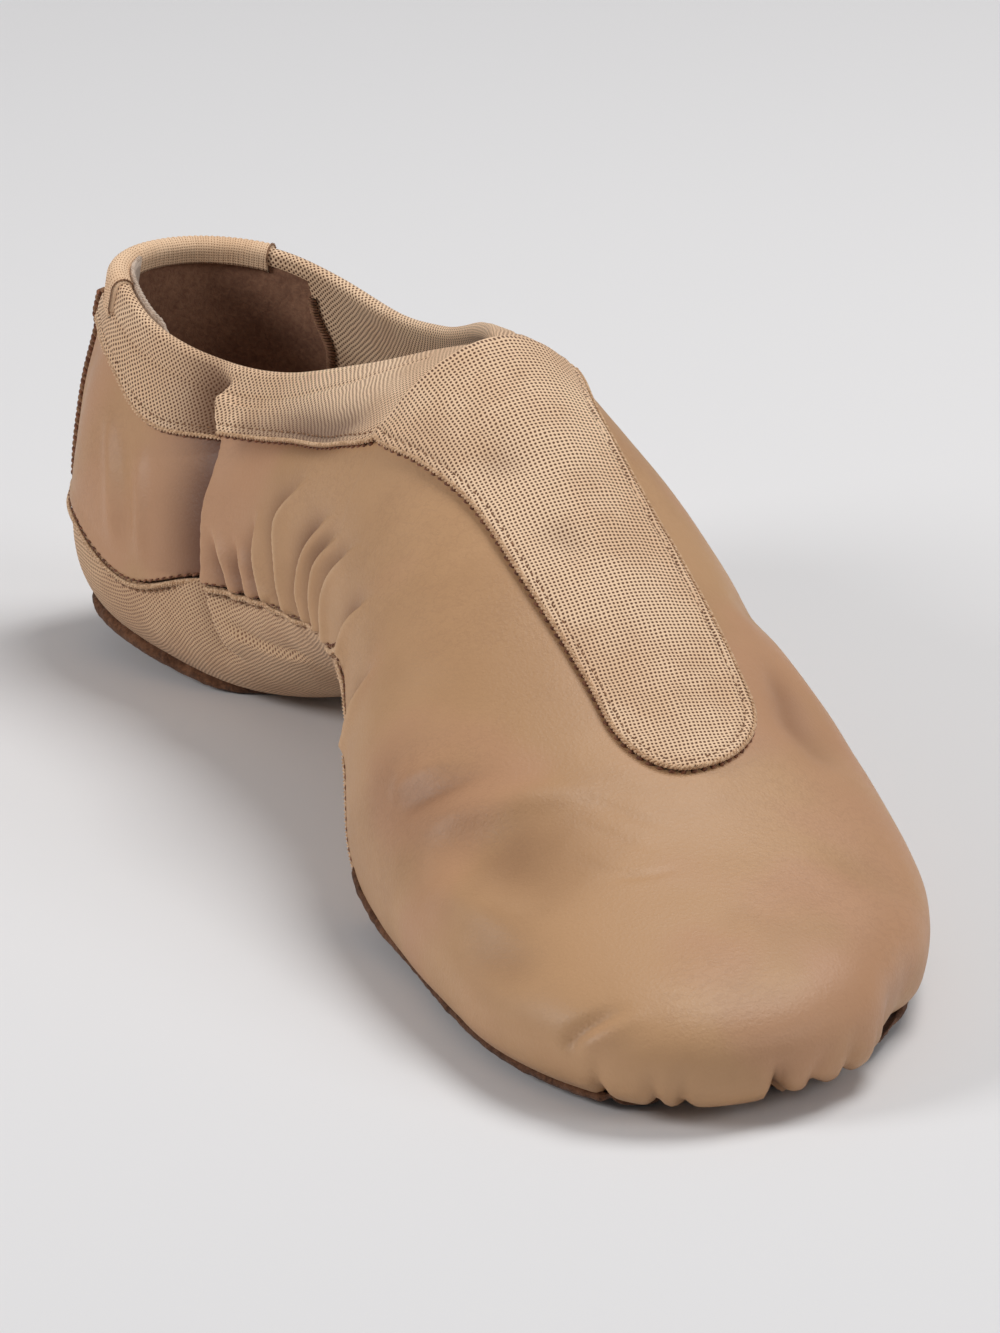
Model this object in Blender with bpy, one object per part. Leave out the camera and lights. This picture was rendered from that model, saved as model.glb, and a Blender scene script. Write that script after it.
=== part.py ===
"""Soft slip-on jazz shoe for the left foot, standing empty on its split sole.

Frame: metres, +Z up, toe towards -Y, the foot's inner side towards -X.
The origin is under the middle of the shoe, on the floor.

One surface, given by form(), is the outside of the leather sock. It is worked out from the length,
the ball width and the instep height with the short tables below. Every piece is a skin that lies
some way inside or outside of that surface, between two lines of it.
"""

import math

import bmesh
import bpy
import numpy as np

MM = 0.001

# Driving sizes of the last
LENGTH = 240 * MM          # from the back of the heel to the toe
BALL_WIDTH = 84 * MM       # widest place of the forefoot
INSTEP = 76.8 * MM         # height of the throat, where the collar opening ends in front
BOW = 18.7 * MM            # how far heel and toe turn to the inner side of the waist
HEEL_PIVOT = 32 * MM       # from the back to the middle of the heel's round end
TOE_PIVOT = 44 * MM        # from the toe back to the middle of its round end

# Thicknesses and clearances
GAP = 0.3 * MM             # between two pieces that meet
WALL = 1.6 * MM            # leather with its lining
MESH_THICK = 0.7 * MM      # stretch mesh laid over the wall
SUEDE_THICK = 1.5 * MM     # sole patches
INSOLE_THICK = 2.0 * MM
BINDING_THICK = 0.7 * MM   # heel tab
SEAM_THICK = 0.8 * MM      # raised seam down the back of the heel

# Sizes of the details
GUSSET_TIP = 0.772         # share of the length where the mesh tongue ends
GUSSET_ROUND = 14 * MM     # length of its round end
TAB_HEIGHT = 5.0 * MM      # how far the heel tab reaches down from the rim
TAB_INNER_END = 0.055      # shares of the length where the tab ends on each side
TAB_OUTER_END = 0.040
SEAM_WIDTH = 2.4 * MM
SEAM_AT = 0.009            # share of the length; the seam runs up the heel a little to the inner side
FORE_PATCH_FROM = 0.610    # shares of the length
HEEL_PATCH_TO = 0.262
PANEL_TO = 0.655           # the underfoot mesh ends under the forefoot patch
BOW_AT = 0.41              # waist, as a share of the length
THROAT = 0.43              # front end of the collar opening
PRESS = 2.6 * MM           # how far the floor flattens the round underside
PRESS_BEND = 1.2 * MM      # softness of the bend at the edge of the flat
EDGE_GAP = 0.5 * MM        # between the leather's lower edge and the underfoot mesh

# The flattened underside lies this high, so that the patches under it stand on the floor
SOLE_LEVEL = GAP + SUEDE_THICK

# Sections along the sides. at: share of the length. inner, outer: half widths as shares of half the
# ball width. belly: height of the widest line as a share of the instep. rise, crown: fullness of the
# curve over the foot. flat, edge: fullness of the curve under it.
SIDES = {
    "at":    (0.00, 0.07, 0.14, 0.27, 0.40, 0.50, 0.60, 0.72, 0.82, 0.91, 1.00),
    "inner": (0.64, 0.65, 0.66, 0.64, 0.68, 0.83, 1.04, 1.10, 1.03, 0.95, 0.90),
    "outer": (0.57, 0.58, 0.60, 0.60, 0.62, 0.72, 0.82, 0.90, 0.88, 0.80, 0.76),
    "belly": (0.28, 0.29, 0.30, 0.36, 0.44, 0.36, 0.22, 0.16, 0.14, 0.13, 0.12),
    "rise":  (0.45, 0.45, 0.45, 0.45, 0.50, 0.55, 0.58, 0.60, 0.60, 0.60, 0.60),
    "crown": (0.45, 0.45, 0.45, 0.45, 0.50, 0.50, 0.50, 0.52, 0.55, 0.58, 0.60),
    "flat":  (0.74, 0.76, 0.78, 0.72, 0.62, 0.72, 0.88, 0.92, 0.90, 0.88, 0.88),
    "edge":  (0.55, 0.55, 0.55, 0.55, 0.55, 0.60, 0.72, 0.78, 0.78, 0.75, 0.72),
}

# Heights along the middle, as shares of the instep: the arch underneath and the ridge on top.
SPINE = {
    "at":    (0.00, 0.12, 0.22, 0.30, 0.39, 0.48, 0.575, 0.70, 0.85, 0.93, 1.00),
    "under": (0.00, 0.00, 0.00, 0.09, 0.20, 0.12, 0.00, 0.00, 0.00, 0.02, 0.05),
    "ridge": (1.10, 1.10, 1.08, 1.06, 1.03, 0.905, 0.745, 0.53, 0.335, 0.26, 0.22),
}

# Rim of the collar. inner_z, outer_z: heights as shares of the instep. inner, outer: how far out the
# rim stands, as shares of the half width. lean: degrees that the wall rises from level at the rim.
RIM = {
    "at":      (0.00, 0.05, 0.10, 0.17, 0.25, 0.33, 0.39, 0.43),
    "inner_z": (0.848, 0.825, 0.775, 0.745, 0.765, 0.85, 0.93, 0.975),
    "outer_z": (0.848, 0.83, 0.80, 0.775, 0.81, 0.90, 0.955, 0.975),
    "inner":   (0.80, 0.74, 0.68, 0.64, 0.56, 0.40, 0.19, 0.00),
    "outer":   (0.80, 0.79, 0.77, 0.74, 0.66, 0.46, 0.21, 0.00),
    "lean":    (82, 80, 78, 72, 60, 40, 18, 0),
}

# Lines on the surface, as its v: 0 is the middle underneath, 1 the widest line, 2 the rim or ridge.
# low: lower edge of the leather. inner, outer: edge of the mesh collar and tongue.
LINES = {
    "at":    (0.00, 0.07, 0.15, 0.22, 0.30, 0.38, 0.43, 0.48, 0.54, 0.60, 0.68, 0.80, 1.00),
    "low":   (1.08, 1.05, 0.90, 0.97, 0.94, 0.84, 0.92, 1.06, 1.00, 0.82, 0.62, 0.52, 0.44),
    "inner": (1.80, 1.79, 1.67, 1.72, 1.69, 1.54, 1.50, 1.60, 1.715, 1.775, 1.835, 1.86, 1.86),
    "outer": (1.80, 1.80, 1.72, 1.72, 1.68, 1.62, 1.64, 1.74, 1.76, 1.752, 1.75, 1.75, 1.75),
}
INSOLE_EDGE = 0.48
SHOULDER = 1.15            # the line where the sides begin to lean in

HEEL_TURN = 0.16           # share of each side's stations that turn round the heel
TOE_TURN = 0.20
HEEL_ROUND = 2.15          # 2 is an ellipse, more is squarer
TOE_ROUND = 2.2
EASE = 12 * MM             # over this length the middle line stops at each pivot


def column(table, name, at):
    """Smooth curve through one column of a table."""
    x = np.array(table["at"], dtype=float)
    y = np.array(table[name], dtype=float)
    slope = np.gradient(y, x)
    at = np.clip(at, x[0], x[-1])
    i = np.clip(np.searchsorted(x, at, side="right") - 1, 0, len(x) - 2)
    step = x[i + 1] - x[i]
    u = (at - x[i]) / step
    return (
        (1 + 2 * u) * (1 - u) ** 2 * y[i]
        + u * (1 - u) ** 2 * step * slope[i]
        + u * u * (3 - 2 * u) * y[i + 1]
        + u * u * (u - 1) * step * slope[i + 1]
    )


def bezier(p0, p1, p2, p3, u):
    w = 1 - u
    return w ** 3 * p0 + 3 * w * w * u * p1 + 3 * w * u * u * p2 + u ** 3 * p3


def middle_line(s):
    """The middle line follows the outline but stops softly at the heel's and toe's pivots."""
    first = HEEL_PIVOT
    last = LENGTH - TOE_PIVOT
    near = np.clip(s, first - EASE, first + EASE)
    s = np.where(s < first + EASE, first + (near - first + EASE) ** 2 / (4 * EASE), s)
    far = np.clip(s, last - EASE, last + EASE)
    return np.where(s > last - EASE, last - (last + EASE - far) ** 2 / (4 * EASE), s)


def outline(a):
    """Place along the length, and how much of the half width is left, for the station a."""
    front = LENGTH - TOE_PIVOT
    heel = np.clip(a / HEEL_TURN, 0, 1) * math.pi / 2
    toe = np.clip((a - 1 + TOE_TURN) / TOE_TURN, 0, 1) * math.pi / 2
    straight = HEEL_PIVOT + (front - HEEL_PIVOT) * (a - HEEL_TURN) / (1 - HEEL_TURN - TOE_TURN)
    back = HEEL_PIVOT * (1 - np.cos(heel) ** (2 / HEEL_ROUND))
    nose = front + TOE_PIVOT * np.sin(toe) ** (2 / TOE_ROUND)
    s = np.where(a < HEEL_TURN, back, np.where(a > 1 - TOE_TURN, nose, straight))
    left = np.where(a < HEEL_TURN, np.sin(heel) ** (2 / HEEL_ROUND), np.cos(toe) ** (2 / TOE_ROUND))
    return s, np.where(left < 1e-6, 0, left)


def station_at(share):
    """The station whose outline lies at this share of the length."""
    a = np.linspace(0, 1, 2001)
    return float(np.interp(share * LENGTH, outline(a)[0], a))


def bow(s):
    return BOW * ((s / LENGTH - BOW_AT) / 0.5) ** 2


def press_flat(z):
    """What would lie below the floor's level is pressed flat, with a soft bend at the edge."""
    over = np.clip(z - SOLE_LEVEL, -PRESS_BEND, PRESS_BEND)
    return np.where(z > SOLE_LEVEL + PRESS_BEND, z, SOLE_LEVEL + (over + PRESS_BEND) ** 2 / (4 * PRESS_BEND))


def form(a, v, side):
    """A point of the sock's outside: station a, line v, side 'inner' or 'outer'."""
    a, v = np.broadcast_arrays(np.asarray(a, dtype=float), np.asarray(v, dtype=float))
    s_out, left = outline(a)
    at = s_out / LENGTH
    s_mid = middle_line(s_out)
    at_mid = s_mid / LENGTH
    ahead = s_out - s_mid
    across = column(SIDES, side, at) * BALL_WIDTH / 2 * left
    reach = np.maximum(np.hypot(ahead, across), 1e-6)
    tilt = ahead / reach

    belly = column(SIDES, "belly", at) * INSTEP
    under = SOLE_LEVEL - PRESS + column(SPINE, "under", at_mid) * INSTEP
    nudge = 0.005
    fall = {}
    for name in ("under", "ridge"):
        change = column(SPINE, name, at_mid + nudge) - column(SPINE, name, at_mid - nudge)
        fall[name] = change * INSTEP / (2 * nudge * LENGTH)

    is_open = at < THROAT
    top = np.where(is_open, column(RIM, side + "_z", at), column(SPINE, "ridge", at_mid)) * INSTEP
    spread = np.where(is_open, np.maximum(column(RIM, side, at), 0), 0)
    lean = np.radians(np.where(is_open, np.maximum(column(RIM, "lean", at), 0), 0))
    fall_top = np.where(is_open, 0, fall["ridge"])

    flat = column(SIDES, "flat", at)
    edge = column(SIDES, "edge", at)
    low = np.clip(v, 0, 1)
    low_r = bezier(0, flat, 1, 1, low)
    low_z = bezier(under, under + fall["under"] * tilt * flat * reach, belly - edge * (belly - under), belly, low)

    rise = column(SIDES, "rise", at)
    handle = column(SIDES, "crown", at) * ((1 - spread) * reach * np.cos(lean) + (top - belly) * np.sin(lean))
    level = handle * np.cos(lean)
    high = np.clip(v - 1, 0, 1)
    high_r = bezier(1, 1, spread + level / reach, spread, high)
    high_z = bezier(
        belly, belly + rise * (top - belly), top - handle * np.sin(lean) + fall_top * tilt * level, top, high
    )

    r = np.where(v <= 1, low_r, high_r)
    z = press_flat(np.where(v <= 1, low_z, high_z))
    s = s_mid + r * ahead
    t = r * across * (1 if side == "inner" else -1)
    return np.stack([-t - bow(s), LENGTH / 2 - s, z], axis=-1)


def arc_to_v(a, side, distance, from_v):
    """The v that lies this distance below from_v, measured along the section."""
    v = np.linspace(from_v - 0.6, from_v, 121)
    points = form(a, v, side)
    steps = np.linalg.norm(np.diff(points, axis=0), axis=1)
    below = np.concatenate([np.cumsum(steps[::-1])[::-1], [0]])
    return float(np.interp(-distance, -below, v))


def v_step(a, side, v, distance):
    """The change of v that moves a point by this distance."""
    probe = 0.01
    here, there = form(a, np.array([v - probe, v]), side)
    return distance * probe / max(float(np.linalg.norm(there - here)), 1e-6)


def share_of(a):
    return float(outline(np.array(a))[0]) / LENGTH


def low_line(a, side, away):
    """Lower edge of the leather, moved up by away."""
    v = float(column(LINES, "low", share_of(a)))
    return v + v_step(a, side, v, away)


def mesh_line(a, side):
    """Edge of the mesh: along the collar, then round the tongue to its tip."""
    at = share_of(a)
    v = float(column(LINES, side, at))
    start = GUSSET_TIP - GUSSET_ROUND / LENGTH
    past = min(max((at - start) / (GUSSET_TIP - start), 0), 1)
    return 2 - (2 - v) * math.sqrt(1 - past * past)


def spaced(first, last, steps):
    return [float(a) for a in np.linspace(first, last, steps + 1)]


def all_stations():
    """Stations from the heel's back to the toe, closer together at the tongue's round tip."""
    throat = station_at(THROAT)
    tip = station_at(GUSSET_TIP)
    round_from = station_at(GUSSET_TIP - GUSSET_ROUND / LENGTH)
    turned = round_from + (tip - round_from) * np.sin(np.linspace(0, math.pi / 2, 5))
    regular = (
        spaced(0, HEEL_TURN, 7)[:-1]
        + spaced(HEEL_TURN, throat, 11)[:-1]
        + spaced(throat, round_from, 10)[:-1]
        + [float(a) for a in turned[:-1]]
        + spaced(tip, 1 - TOE_TURN, 2)[:-1]
        + spaced(1 - TOE_TURN, 1, 9)
    )
    ends = [
        station_at(share) for share in (TAB_INNER_END, TAB_OUTER_END, HEEL_PATCH_TO, FORE_PATCH_FROM, PANEL_TO)
    ]
    kept = [a for a in regular if min(abs(a - end) for end in ends) > 0.008]
    return sorted(kept + ends)


def both_sides(stations):
    """Columns that run back along the inner side and forward along the outer side."""
    inner = [("inner", a) for a in reversed(stations)]
    outer = [("outer", a) for a in stations[1:-1]]
    return inner + outer


# The sock's rows of faces, counted from the middle underneath
UNDER_ROWS = 7             # up to the lower edge of the leather
SIDE_ROWS = 9              # from there to the edge of the mesh, after one narrow row for the gap
MESH_ROWS = 3              # from there to the rim or ridge
LEATHER_FROM = UNDER_ROWS + 1
MESH_FROM = LEATHER_FROM + SIDE_ROWS
ALL_ROWS = MESH_FROM + MESH_ROWS
HEEL_PATCH_ROWS = 4
FORE_PATCH_ROWS = LEATHER_FROM + 1
INSOLE_ROWS = 3


def sock_rows(side, a):
    mesh_edge = mesh_line(a, side)
    under = spaced(0, low_line(a, side, -EDGE_GAP / 2), UNDER_ROWS)
    turned = spaced(low_line(a, side, EDGE_GAP / 2), SHOULDER, 4)[:-1]
    wall = spaced(SHOULDER, mesh_edge, SIDE_ROWS - 4)[:-1]
    return under + turned + wall + spaced(mesh_edge, 2, MESH_ROWS)


def grid_mesh(columns, rows):
    """Closed row of columns joined by faces that know their row and their share of the length."""
    mesh = bmesh.new()
    row_of = mesh.faces.layers.int.new("row")
    share_layer = mesh.faces.layers.float.new("share")
    grid = []
    for side, a in columns:
        points = form(a, np.array(rows(side, a)), side)
        grid.append([mesh.verts.new(point) for point in points])
    for i, here in enumerate(grid):
        k = (i + 1) % len(grid)
        there = grid[k]
        share = share_of((columns[i][1] + columns[k][1]) / 2)
        for j in range(len(here) - 1):
            face = mesh.faces.new((here[j], here[j + 1], there[j + 1], there[j]))
            face[row_of] = j
            face[share_layer] = share
    bmesh.ops.remove_doubles(mesh, verts=mesh.verts[:], dist=0.05 * MM)
    bmesh.ops.dissolve_degenerate(mesh, edges=mesh.edges[:], dist=0.01 * MM)
    mesh.normal_update()
    return mesh


def skin(sheet, rows, shares, inside, outside):
    """Closed body over some of the sheet's faces, between two distances measured outwards."""
    row_of = sheet.faces.layers.int["row"]
    share_layer = sheet.faces.layers.float["share"]
    chosen = {
        face for face in sheet.faces
        if rows[0] <= face[row_of] < rows[1] and shares[0] < face[share_layer] < shares[1]
    }
    solid = bmesh.new()
    outer = {}
    inner = {}
    for vert in sheet.verts:
        if any(face in chosen for face in vert.link_faces):
            outer[vert] = solid.verts.new(vert.co + vert.normal * outside)
            inner[vert] = solid.verts.new(vert.co + vert.normal * inside)
    for face in sheet.faces:
        if face not in chosen:
            continue
        solid.faces.new([outer[vert] for vert in face.verts])
        solid.faces.new([inner[vert] for vert in reversed(face.verts)])
        for loop in face.loops:
            if sum(other in chosen for other in loop.edge.link_faces) == 1:
                first, second = loop.vert, loop.link_loop_next.vert
                solid.faces.new((outer[second], outer[first], inner[first], inner[second]))
    return solid


def add_object(name, solid, colour, roughness):
    bmesh.ops.triangulate(solid, faces=solid.faces[:])
    for vert in solid.verts:
        vert.co.z = max(vert.co.z, 0)
    bmesh.ops.recalc_face_normals(solid, faces=solid.faces[:])
    if solid.calc_volume(signed=True) < 0:
        bmesh.ops.reverse_faces(solid, faces=solid.faces[:])
    mesh = bpy.data.meshes.new(name)
    solid.to_mesh(mesh)
    solid.free()
    material = bpy.data.materials.new(name)
    material.use_nodes = True
    shader = material.node_tree.nodes["Principled BSDF"]
    shader.inputs["Base Color"].default_value = (*colour, 1)
    shader.inputs["Roughness"].default_value = roughness
    mesh.materials.append(material)
    mesh.shade_smooth()
    mesh.set_sharp_from_angle(angle=math.radians(40))
    shoe_piece = bpy.data.objects.new(name, mesh)
    bpy.context.scene.collection.objects.link(shoe_piece)
    return shoe_piece


def make_upper(sock):
    """Leather vamp and quarters: one hollow solid, open at the collar and underneath."""
    solid = skin(sock, (LEATHER_FROM, ALL_ROWS), (0, 1), -WALL, 0)
    return add_object("upper", solid, (0.42, 0.25, 0.14), 0.45)


def make_gusset_and_collar(sock):
    """Stretch mesh round the collar and down the instep, laid over the upper."""
    solid = skin(sock, (MESH_FROM, ALL_ROWS), (0, GUSSET_TIP), GAP, GAP + MESH_THICK)
    return add_object("gusset_and_collar", solid, (0.56, 0.39, 0.25), 0.8)


def make_underfoot_panel(sock):
    """Stretch mesh under the heel cup and the arch, meeting the leather edge to edge."""
    solid = skin(sock, (0, UNDER_ROWS), (0, PANEL_TO), -WALL, 0)
    return add_object("underfoot_panel", solid, (0.56, 0.39, 0.25), 0.8)


def make_forefoot_patch(sock):
    """Thin suede sole under the ball and the toes."""
    solid = skin(sock, (0, FORE_PATCH_ROWS), (FORE_PATCH_FROM, 1), GAP, GAP + SUEDE_THICK)
    return add_object("forefoot_patch", solid, (0.16, 0.09, 0.055), 0.95)


def make_heel_patch(sock):
    """Thin suede sole under the heel."""
    solid = skin(sock, (0, HEEL_PATCH_ROWS), (0, HEEL_PATCH_TO), GAP, GAP + SUEDE_THICK)
    return add_object("heel_patch", solid, (0.16, 0.09, 0.055), 0.95)


def make_insole():
    """Thin sock that the foot stands on, lying inside on the leather's turned edge and the panel."""
    def rows(side, a):
        return spaced(0, INSOLE_EDGE, INSOLE_ROWS)
    sheet = grid_mesh(both_sides(all_stations()), rows)
    top = -WALL - 2 * GAP
    solid = skin(sheet, (0, INSOLE_ROWS), (0, 1), top - INSOLE_THICK, top)
    sheet.free()
    return add_object("insole", solid, (0.28, 0.2, 0.14), 0.9)


def surface_frame(a, v, side):
    """Point of the surface, outward normal, and the direction up along the section."""
    probe = 0.004
    point = form(a, v, side)
    up = form(a, v, side) - form(a, v - probe, side)
    if a < probe:
        along = form(probe, v, "outer") - form(probe, v, "inner")
    else:
        along = form(a - probe, v, side) - form(a + probe, v, side)
        along = along if side == "inner" else -along
    up = up / np.linalg.norm(up)
    normal = np.cross(up, along)
    return point, normal / np.linalg.norm(normal), up


def sweep(profiles):
    """Closed body through a row of rings. Half of each ring faces the other half across the strip."""
    solid = bmesh.new()
    rings = [[solid.verts.new(point) for point in profile] for profile in profiles]
    for here, there in zip(rings, rings[1:]):
        for j in range(len(here)):
            k = (j + 1) % len(here)
            solid.faces.new((here[j], here[k], there[k], there[j]))
    half = len(rings[0]) // 2
    for ring in (rings[0], rings[-1]):
        for j in range(half - 1):
            solid.faces.new((ring[j], ring[j + 1], ring[-j - 2], ring[-j - 1]))
    return solid


def make_heel_tab():
    """Ribbed binding folded over the rim at the back of the heel."""
    columns = []
    for side, end in (("inner", station_at(TAB_INNER_END)), ("outer", station_at(TAB_OUTER_END))):
        run = [(side, a) for a in all_stations() if a < end - 0.008] + [(side, end)]
        columns = run[::-1] if side == "inner" else columns + run[1:]
    near_out = 2 * GAP + MESH_THICK
    far_out = near_out + BINDING_THICK
    near_in = -WALL - GAP
    far_in = near_in - BINDING_THICK
    low, half = TAB_HEIGHT, TAB_HEIGHT / 2
    top = GAP + BINDING_THICK
    corner = 0.4 * MM
    # height above the rim and distance from the surface, over the fold's outside and its inside
    outside = (
        (-low, far_out), (-half, far_out), (top - corner, far_out), (top, far_out - corner),
        (top, far_in + corner), (top - corner, far_in), (-half, far_in), (-low, far_in),
    )
    inside = (
        (-low, near_out), (-half, near_out), (0, near_out), (GAP, near_out),
        (GAP, near_in), (0, near_in), (-half, near_in), (-low, near_in),
    )
    profiles = []
    for side, a in columns:
        profile = []
        for height, out in outside + inside[::-1]:
            v = arc_to_v(a, side, max(-height, 0), 2)
            point, normal, up = surface_frame(a, v, side)
            profile.append(point + normal * out + up * max(height, 0))
        profiles.append(profile)
    return add_object("heel_tab", sweep(profiles), (0.56, 0.4, 0.26), 0.8)


def make_back_seam():
    """Raised seam up the back of the heel, stepping over the edge of the mesh collar."""
    a = station_at(SEAM_AT)
    half = SEAM_WIDTH / 2
    low = low_line(a, "inner", 2 * GAP)
    mesh_edge = mesh_line(a, "inner")
    ramp_from = arc_to_v(a, "inner", 3 * SEAM_THICK, mesh_edge)
    ramp_to = arc_to_v(a, "inner", SEAM_THICK, mesh_edge)
    high = arc_to_v(a, "inner", TAB_HEIGHT + 2 * GAP, 2)
    over = GAP + MESH_THICK
    stops = [(v, 0) for v in spaced(low, ramp_from, 6)] + [(v, over) for v in spaced(ramp_to, high, 4)]
    profiles = []
    for v, lift in stops:
        point, normal, up = surface_frame(a, v, "inner")
        across = np.cross(normal, up)
        ring = []
        crown = ((-1, 0.2), (-0.6, 0.8), (0, 1), (0.6, 0.8), (1, 0.2))
        for sideways, out in crown + tuple((sideways, 0) for sideways, out in crown[::-1]):
            # the surface bends away from its middle, so the edges of the strip drop with it
            drop = (sideways * half) ** 2 / (2 * HEEL_PIVOT)
            ring.append(point + across * sideways * half + normal * (GAP + lift + out * SEAM_THICK - drop))
        profiles.append(ring)
    return add_object("back_seam", sweep(profiles), (0.16, 0.1, 0.07), 0.7)


def centre_over_origin(pieces):
    """Move the shoe so that the middle of its box is over the origin."""
    low = np.min([np.min([v.co for v in piece.data.vertices], axis=0) for piece in pieces], axis=0)
    high = np.max([np.max([v.co for v in piece.data.vertices], axis=0) for piece in pieces], axis=0)
    middle = (low + high) / 2
    for piece in pieces:
        for vert in piece.data.vertices:
            vert.co.x -= middle[0]
            vert.co.y -= middle[1]


def main():
    for old in list(bpy.data.objects):
        bpy.data.objects.remove(old)
    sock = grid_mesh(both_sides(all_stations()), sock_rows)
    pieces = [
        make_upper(sock),
        make_gusset_and_collar(sock),
        make_heel_tab(),
        make_back_seam(),
        make_underfoot_panel(sock),
        make_forefoot_patch(sock),
        make_heel_patch(sock),
        make_insole(),
    ]
    sock.free()
    centre_over_origin(pieces)


main()
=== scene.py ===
import math

import bpy
import numpy as np
from mathutils import Matrix, Vector, noise
from mathutils.kdtree import KDTree


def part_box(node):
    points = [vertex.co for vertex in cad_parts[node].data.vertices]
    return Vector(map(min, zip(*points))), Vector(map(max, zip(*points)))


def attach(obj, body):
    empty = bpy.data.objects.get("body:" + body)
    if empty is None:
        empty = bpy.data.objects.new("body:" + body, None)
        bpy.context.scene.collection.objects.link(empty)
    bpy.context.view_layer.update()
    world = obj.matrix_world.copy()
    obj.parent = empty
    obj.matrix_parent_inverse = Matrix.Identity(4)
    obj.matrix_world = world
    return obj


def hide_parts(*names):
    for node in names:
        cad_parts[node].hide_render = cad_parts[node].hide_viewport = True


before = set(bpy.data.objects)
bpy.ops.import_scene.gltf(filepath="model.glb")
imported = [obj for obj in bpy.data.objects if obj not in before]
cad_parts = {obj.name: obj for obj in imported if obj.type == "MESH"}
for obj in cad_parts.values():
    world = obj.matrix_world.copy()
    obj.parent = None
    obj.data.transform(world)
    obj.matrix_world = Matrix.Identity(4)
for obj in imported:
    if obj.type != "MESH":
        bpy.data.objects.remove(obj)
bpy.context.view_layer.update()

mm = 0.001
print("shoe: frame loaded")

# the last: the same surface that the solids were cut from, heel at the back, toe towards -Y
last = {
    "length": 240 * mm, "ball": 84 * mm, "instep": 76.8 * mm,
    "bow": 18.7 * mm, "bowAt": 0.41,
    "heelPivot": 32 * mm, "toePivot": 44 * mm, "heelTurn": 0.16, "toeTurn": 0.20,
    "heelRound": 2.15, "toeRound": 2.2, "ease": 12 * mm,
    "press": 2.6 * mm, "pressBend": 1.2 * mm, "soleLevel": 1.8 * mm,
    "throat": 0.43, "wall": 1.6 * mm,
}
sideTable = {
    "at": (0.00, 0.07, 0.14, 0.27, 0.40, 0.50, 0.60, 0.72, 0.82, 0.91, 1.00),
    "inner": (0.64, 0.65, 0.66, 0.64, 0.68, 0.83, 1.04, 1.10, 1.03, 0.95, 0.90),
    "outer": (0.57, 0.58, 0.60, 0.60, 0.62, 0.72, 0.82, 0.90, 0.88, 0.80, 0.76),
    "belly": (0.28, 0.29, 0.30, 0.36, 0.44, 0.36, 0.22, 0.16, 0.14, 0.13, 0.12),
    "rise": (0.45, 0.45, 0.45, 0.45, 0.50, 0.55, 0.58, 0.60, 0.60, 0.60, 0.60),
    "crown": (0.45, 0.45, 0.45, 0.45, 0.50, 0.50, 0.50, 0.52, 0.55, 0.58, 0.60),
    "flat": (0.74, 0.76, 0.78, 0.72, 0.62, 0.72, 0.88, 0.92, 0.90, 0.88, 0.88),
    "edge": (0.55, 0.55, 0.55, 0.55, 0.55, 0.60, 0.72, 0.78, 0.78, 0.75, 0.72),
}
spineTable = {
    "at": (0.00, 0.12, 0.22, 0.30, 0.39, 0.48, 0.575, 0.70, 0.85, 0.93, 1.00),
    "under": (0.00, 0.00, 0.00, 0.09, 0.20, 0.12, 0.00, 0.00, 0.00, 0.02, 0.05),
    "ridge": (1.10, 1.10, 1.08, 1.06, 1.03, 0.905, 0.745, 0.53, 0.335, 0.26, 0.22),
}
rimTable = {
    "at": (0.00, 0.05, 0.10, 0.17, 0.25, 0.33, 0.39, 0.43),
    "innerZ": (0.848, 0.825, 0.775, 0.745, 0.765, 0.85, 0.93, 0.975),
    "outerZ": (0.848, 0.83, 0.80, 0.775, 0.81, 0.90, 0.955, 0.975),
    "inner": (0.80, 0.74, 0.68, 0.64, 0.56, 0.40, 0.19, 0.00),
    "outer": (0.80, 0.79, 0.77, 0.74, 0.66, 0.46, 0.21, 0.00),
    "lean": (82, 80, 78, 72, 60, 40, 18, 0),
}
lineTable = {
    "at": (0.00, 0.07, 0.15, 0.22, 0.30, 0.38, 0.43, 0.48, 0.54, 0.60, 0.68, 0.80, 1.00),
    "low": (1.08, 1.05, 0.90, 0.97, 0.94, 0.84, 0.92, 1.06, 1.00, 0.82, 0.62, 0.52, 0.44),
    "inner": (1.80, 1.79, 1.67, 1.72, 1.69, 1.54, 1.50, 1.60, 1.715, 1.775, 1.835, 1.86, 1.86),
    "outer": (1.80, 1.80, 1.72, 1.72, 1.68, 1.62, 1.64, 1.74, 1.76, 1.752, 1.75, 1.75, 1.75),
}


def column(table, name, at):
    x = np.array(table["at"], dtype=float)
    y = np.array(table[name], dtype=float)
    slope = np.gradient(y, x)
    at = np.clip(at, x[0], x[-1])
    i = np.clip(np.searchsorted(x, at, side="right") - 1, 0, len(x) - 2)
    step = x[i + 1] - x[i]
    u = (at - x[i]) / step
    rising = (1 + 2 * u) * (1 - u) ** 2 * y[i] + u * (1 - u) ** 2 * step * slope[i]
    return rising + u * u * (3 - 2 * u) * y[i + 1] + u * u * (u - 1) * step * slope[i + 1]


def bySide(table, at, side, ending=""):
    inner = column(table, "inner" + ending, at)
    return np.where(side > 0, inner, column(table, "outer" + ending, at))


def bezierAt(p0, p1, p2, p3, u):
    w = 1 - u
    return w ** 3 * p0 + 3 * w * w * u * p1 + 3 * w * u * u * p2 + u ** 3 * p3


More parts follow.
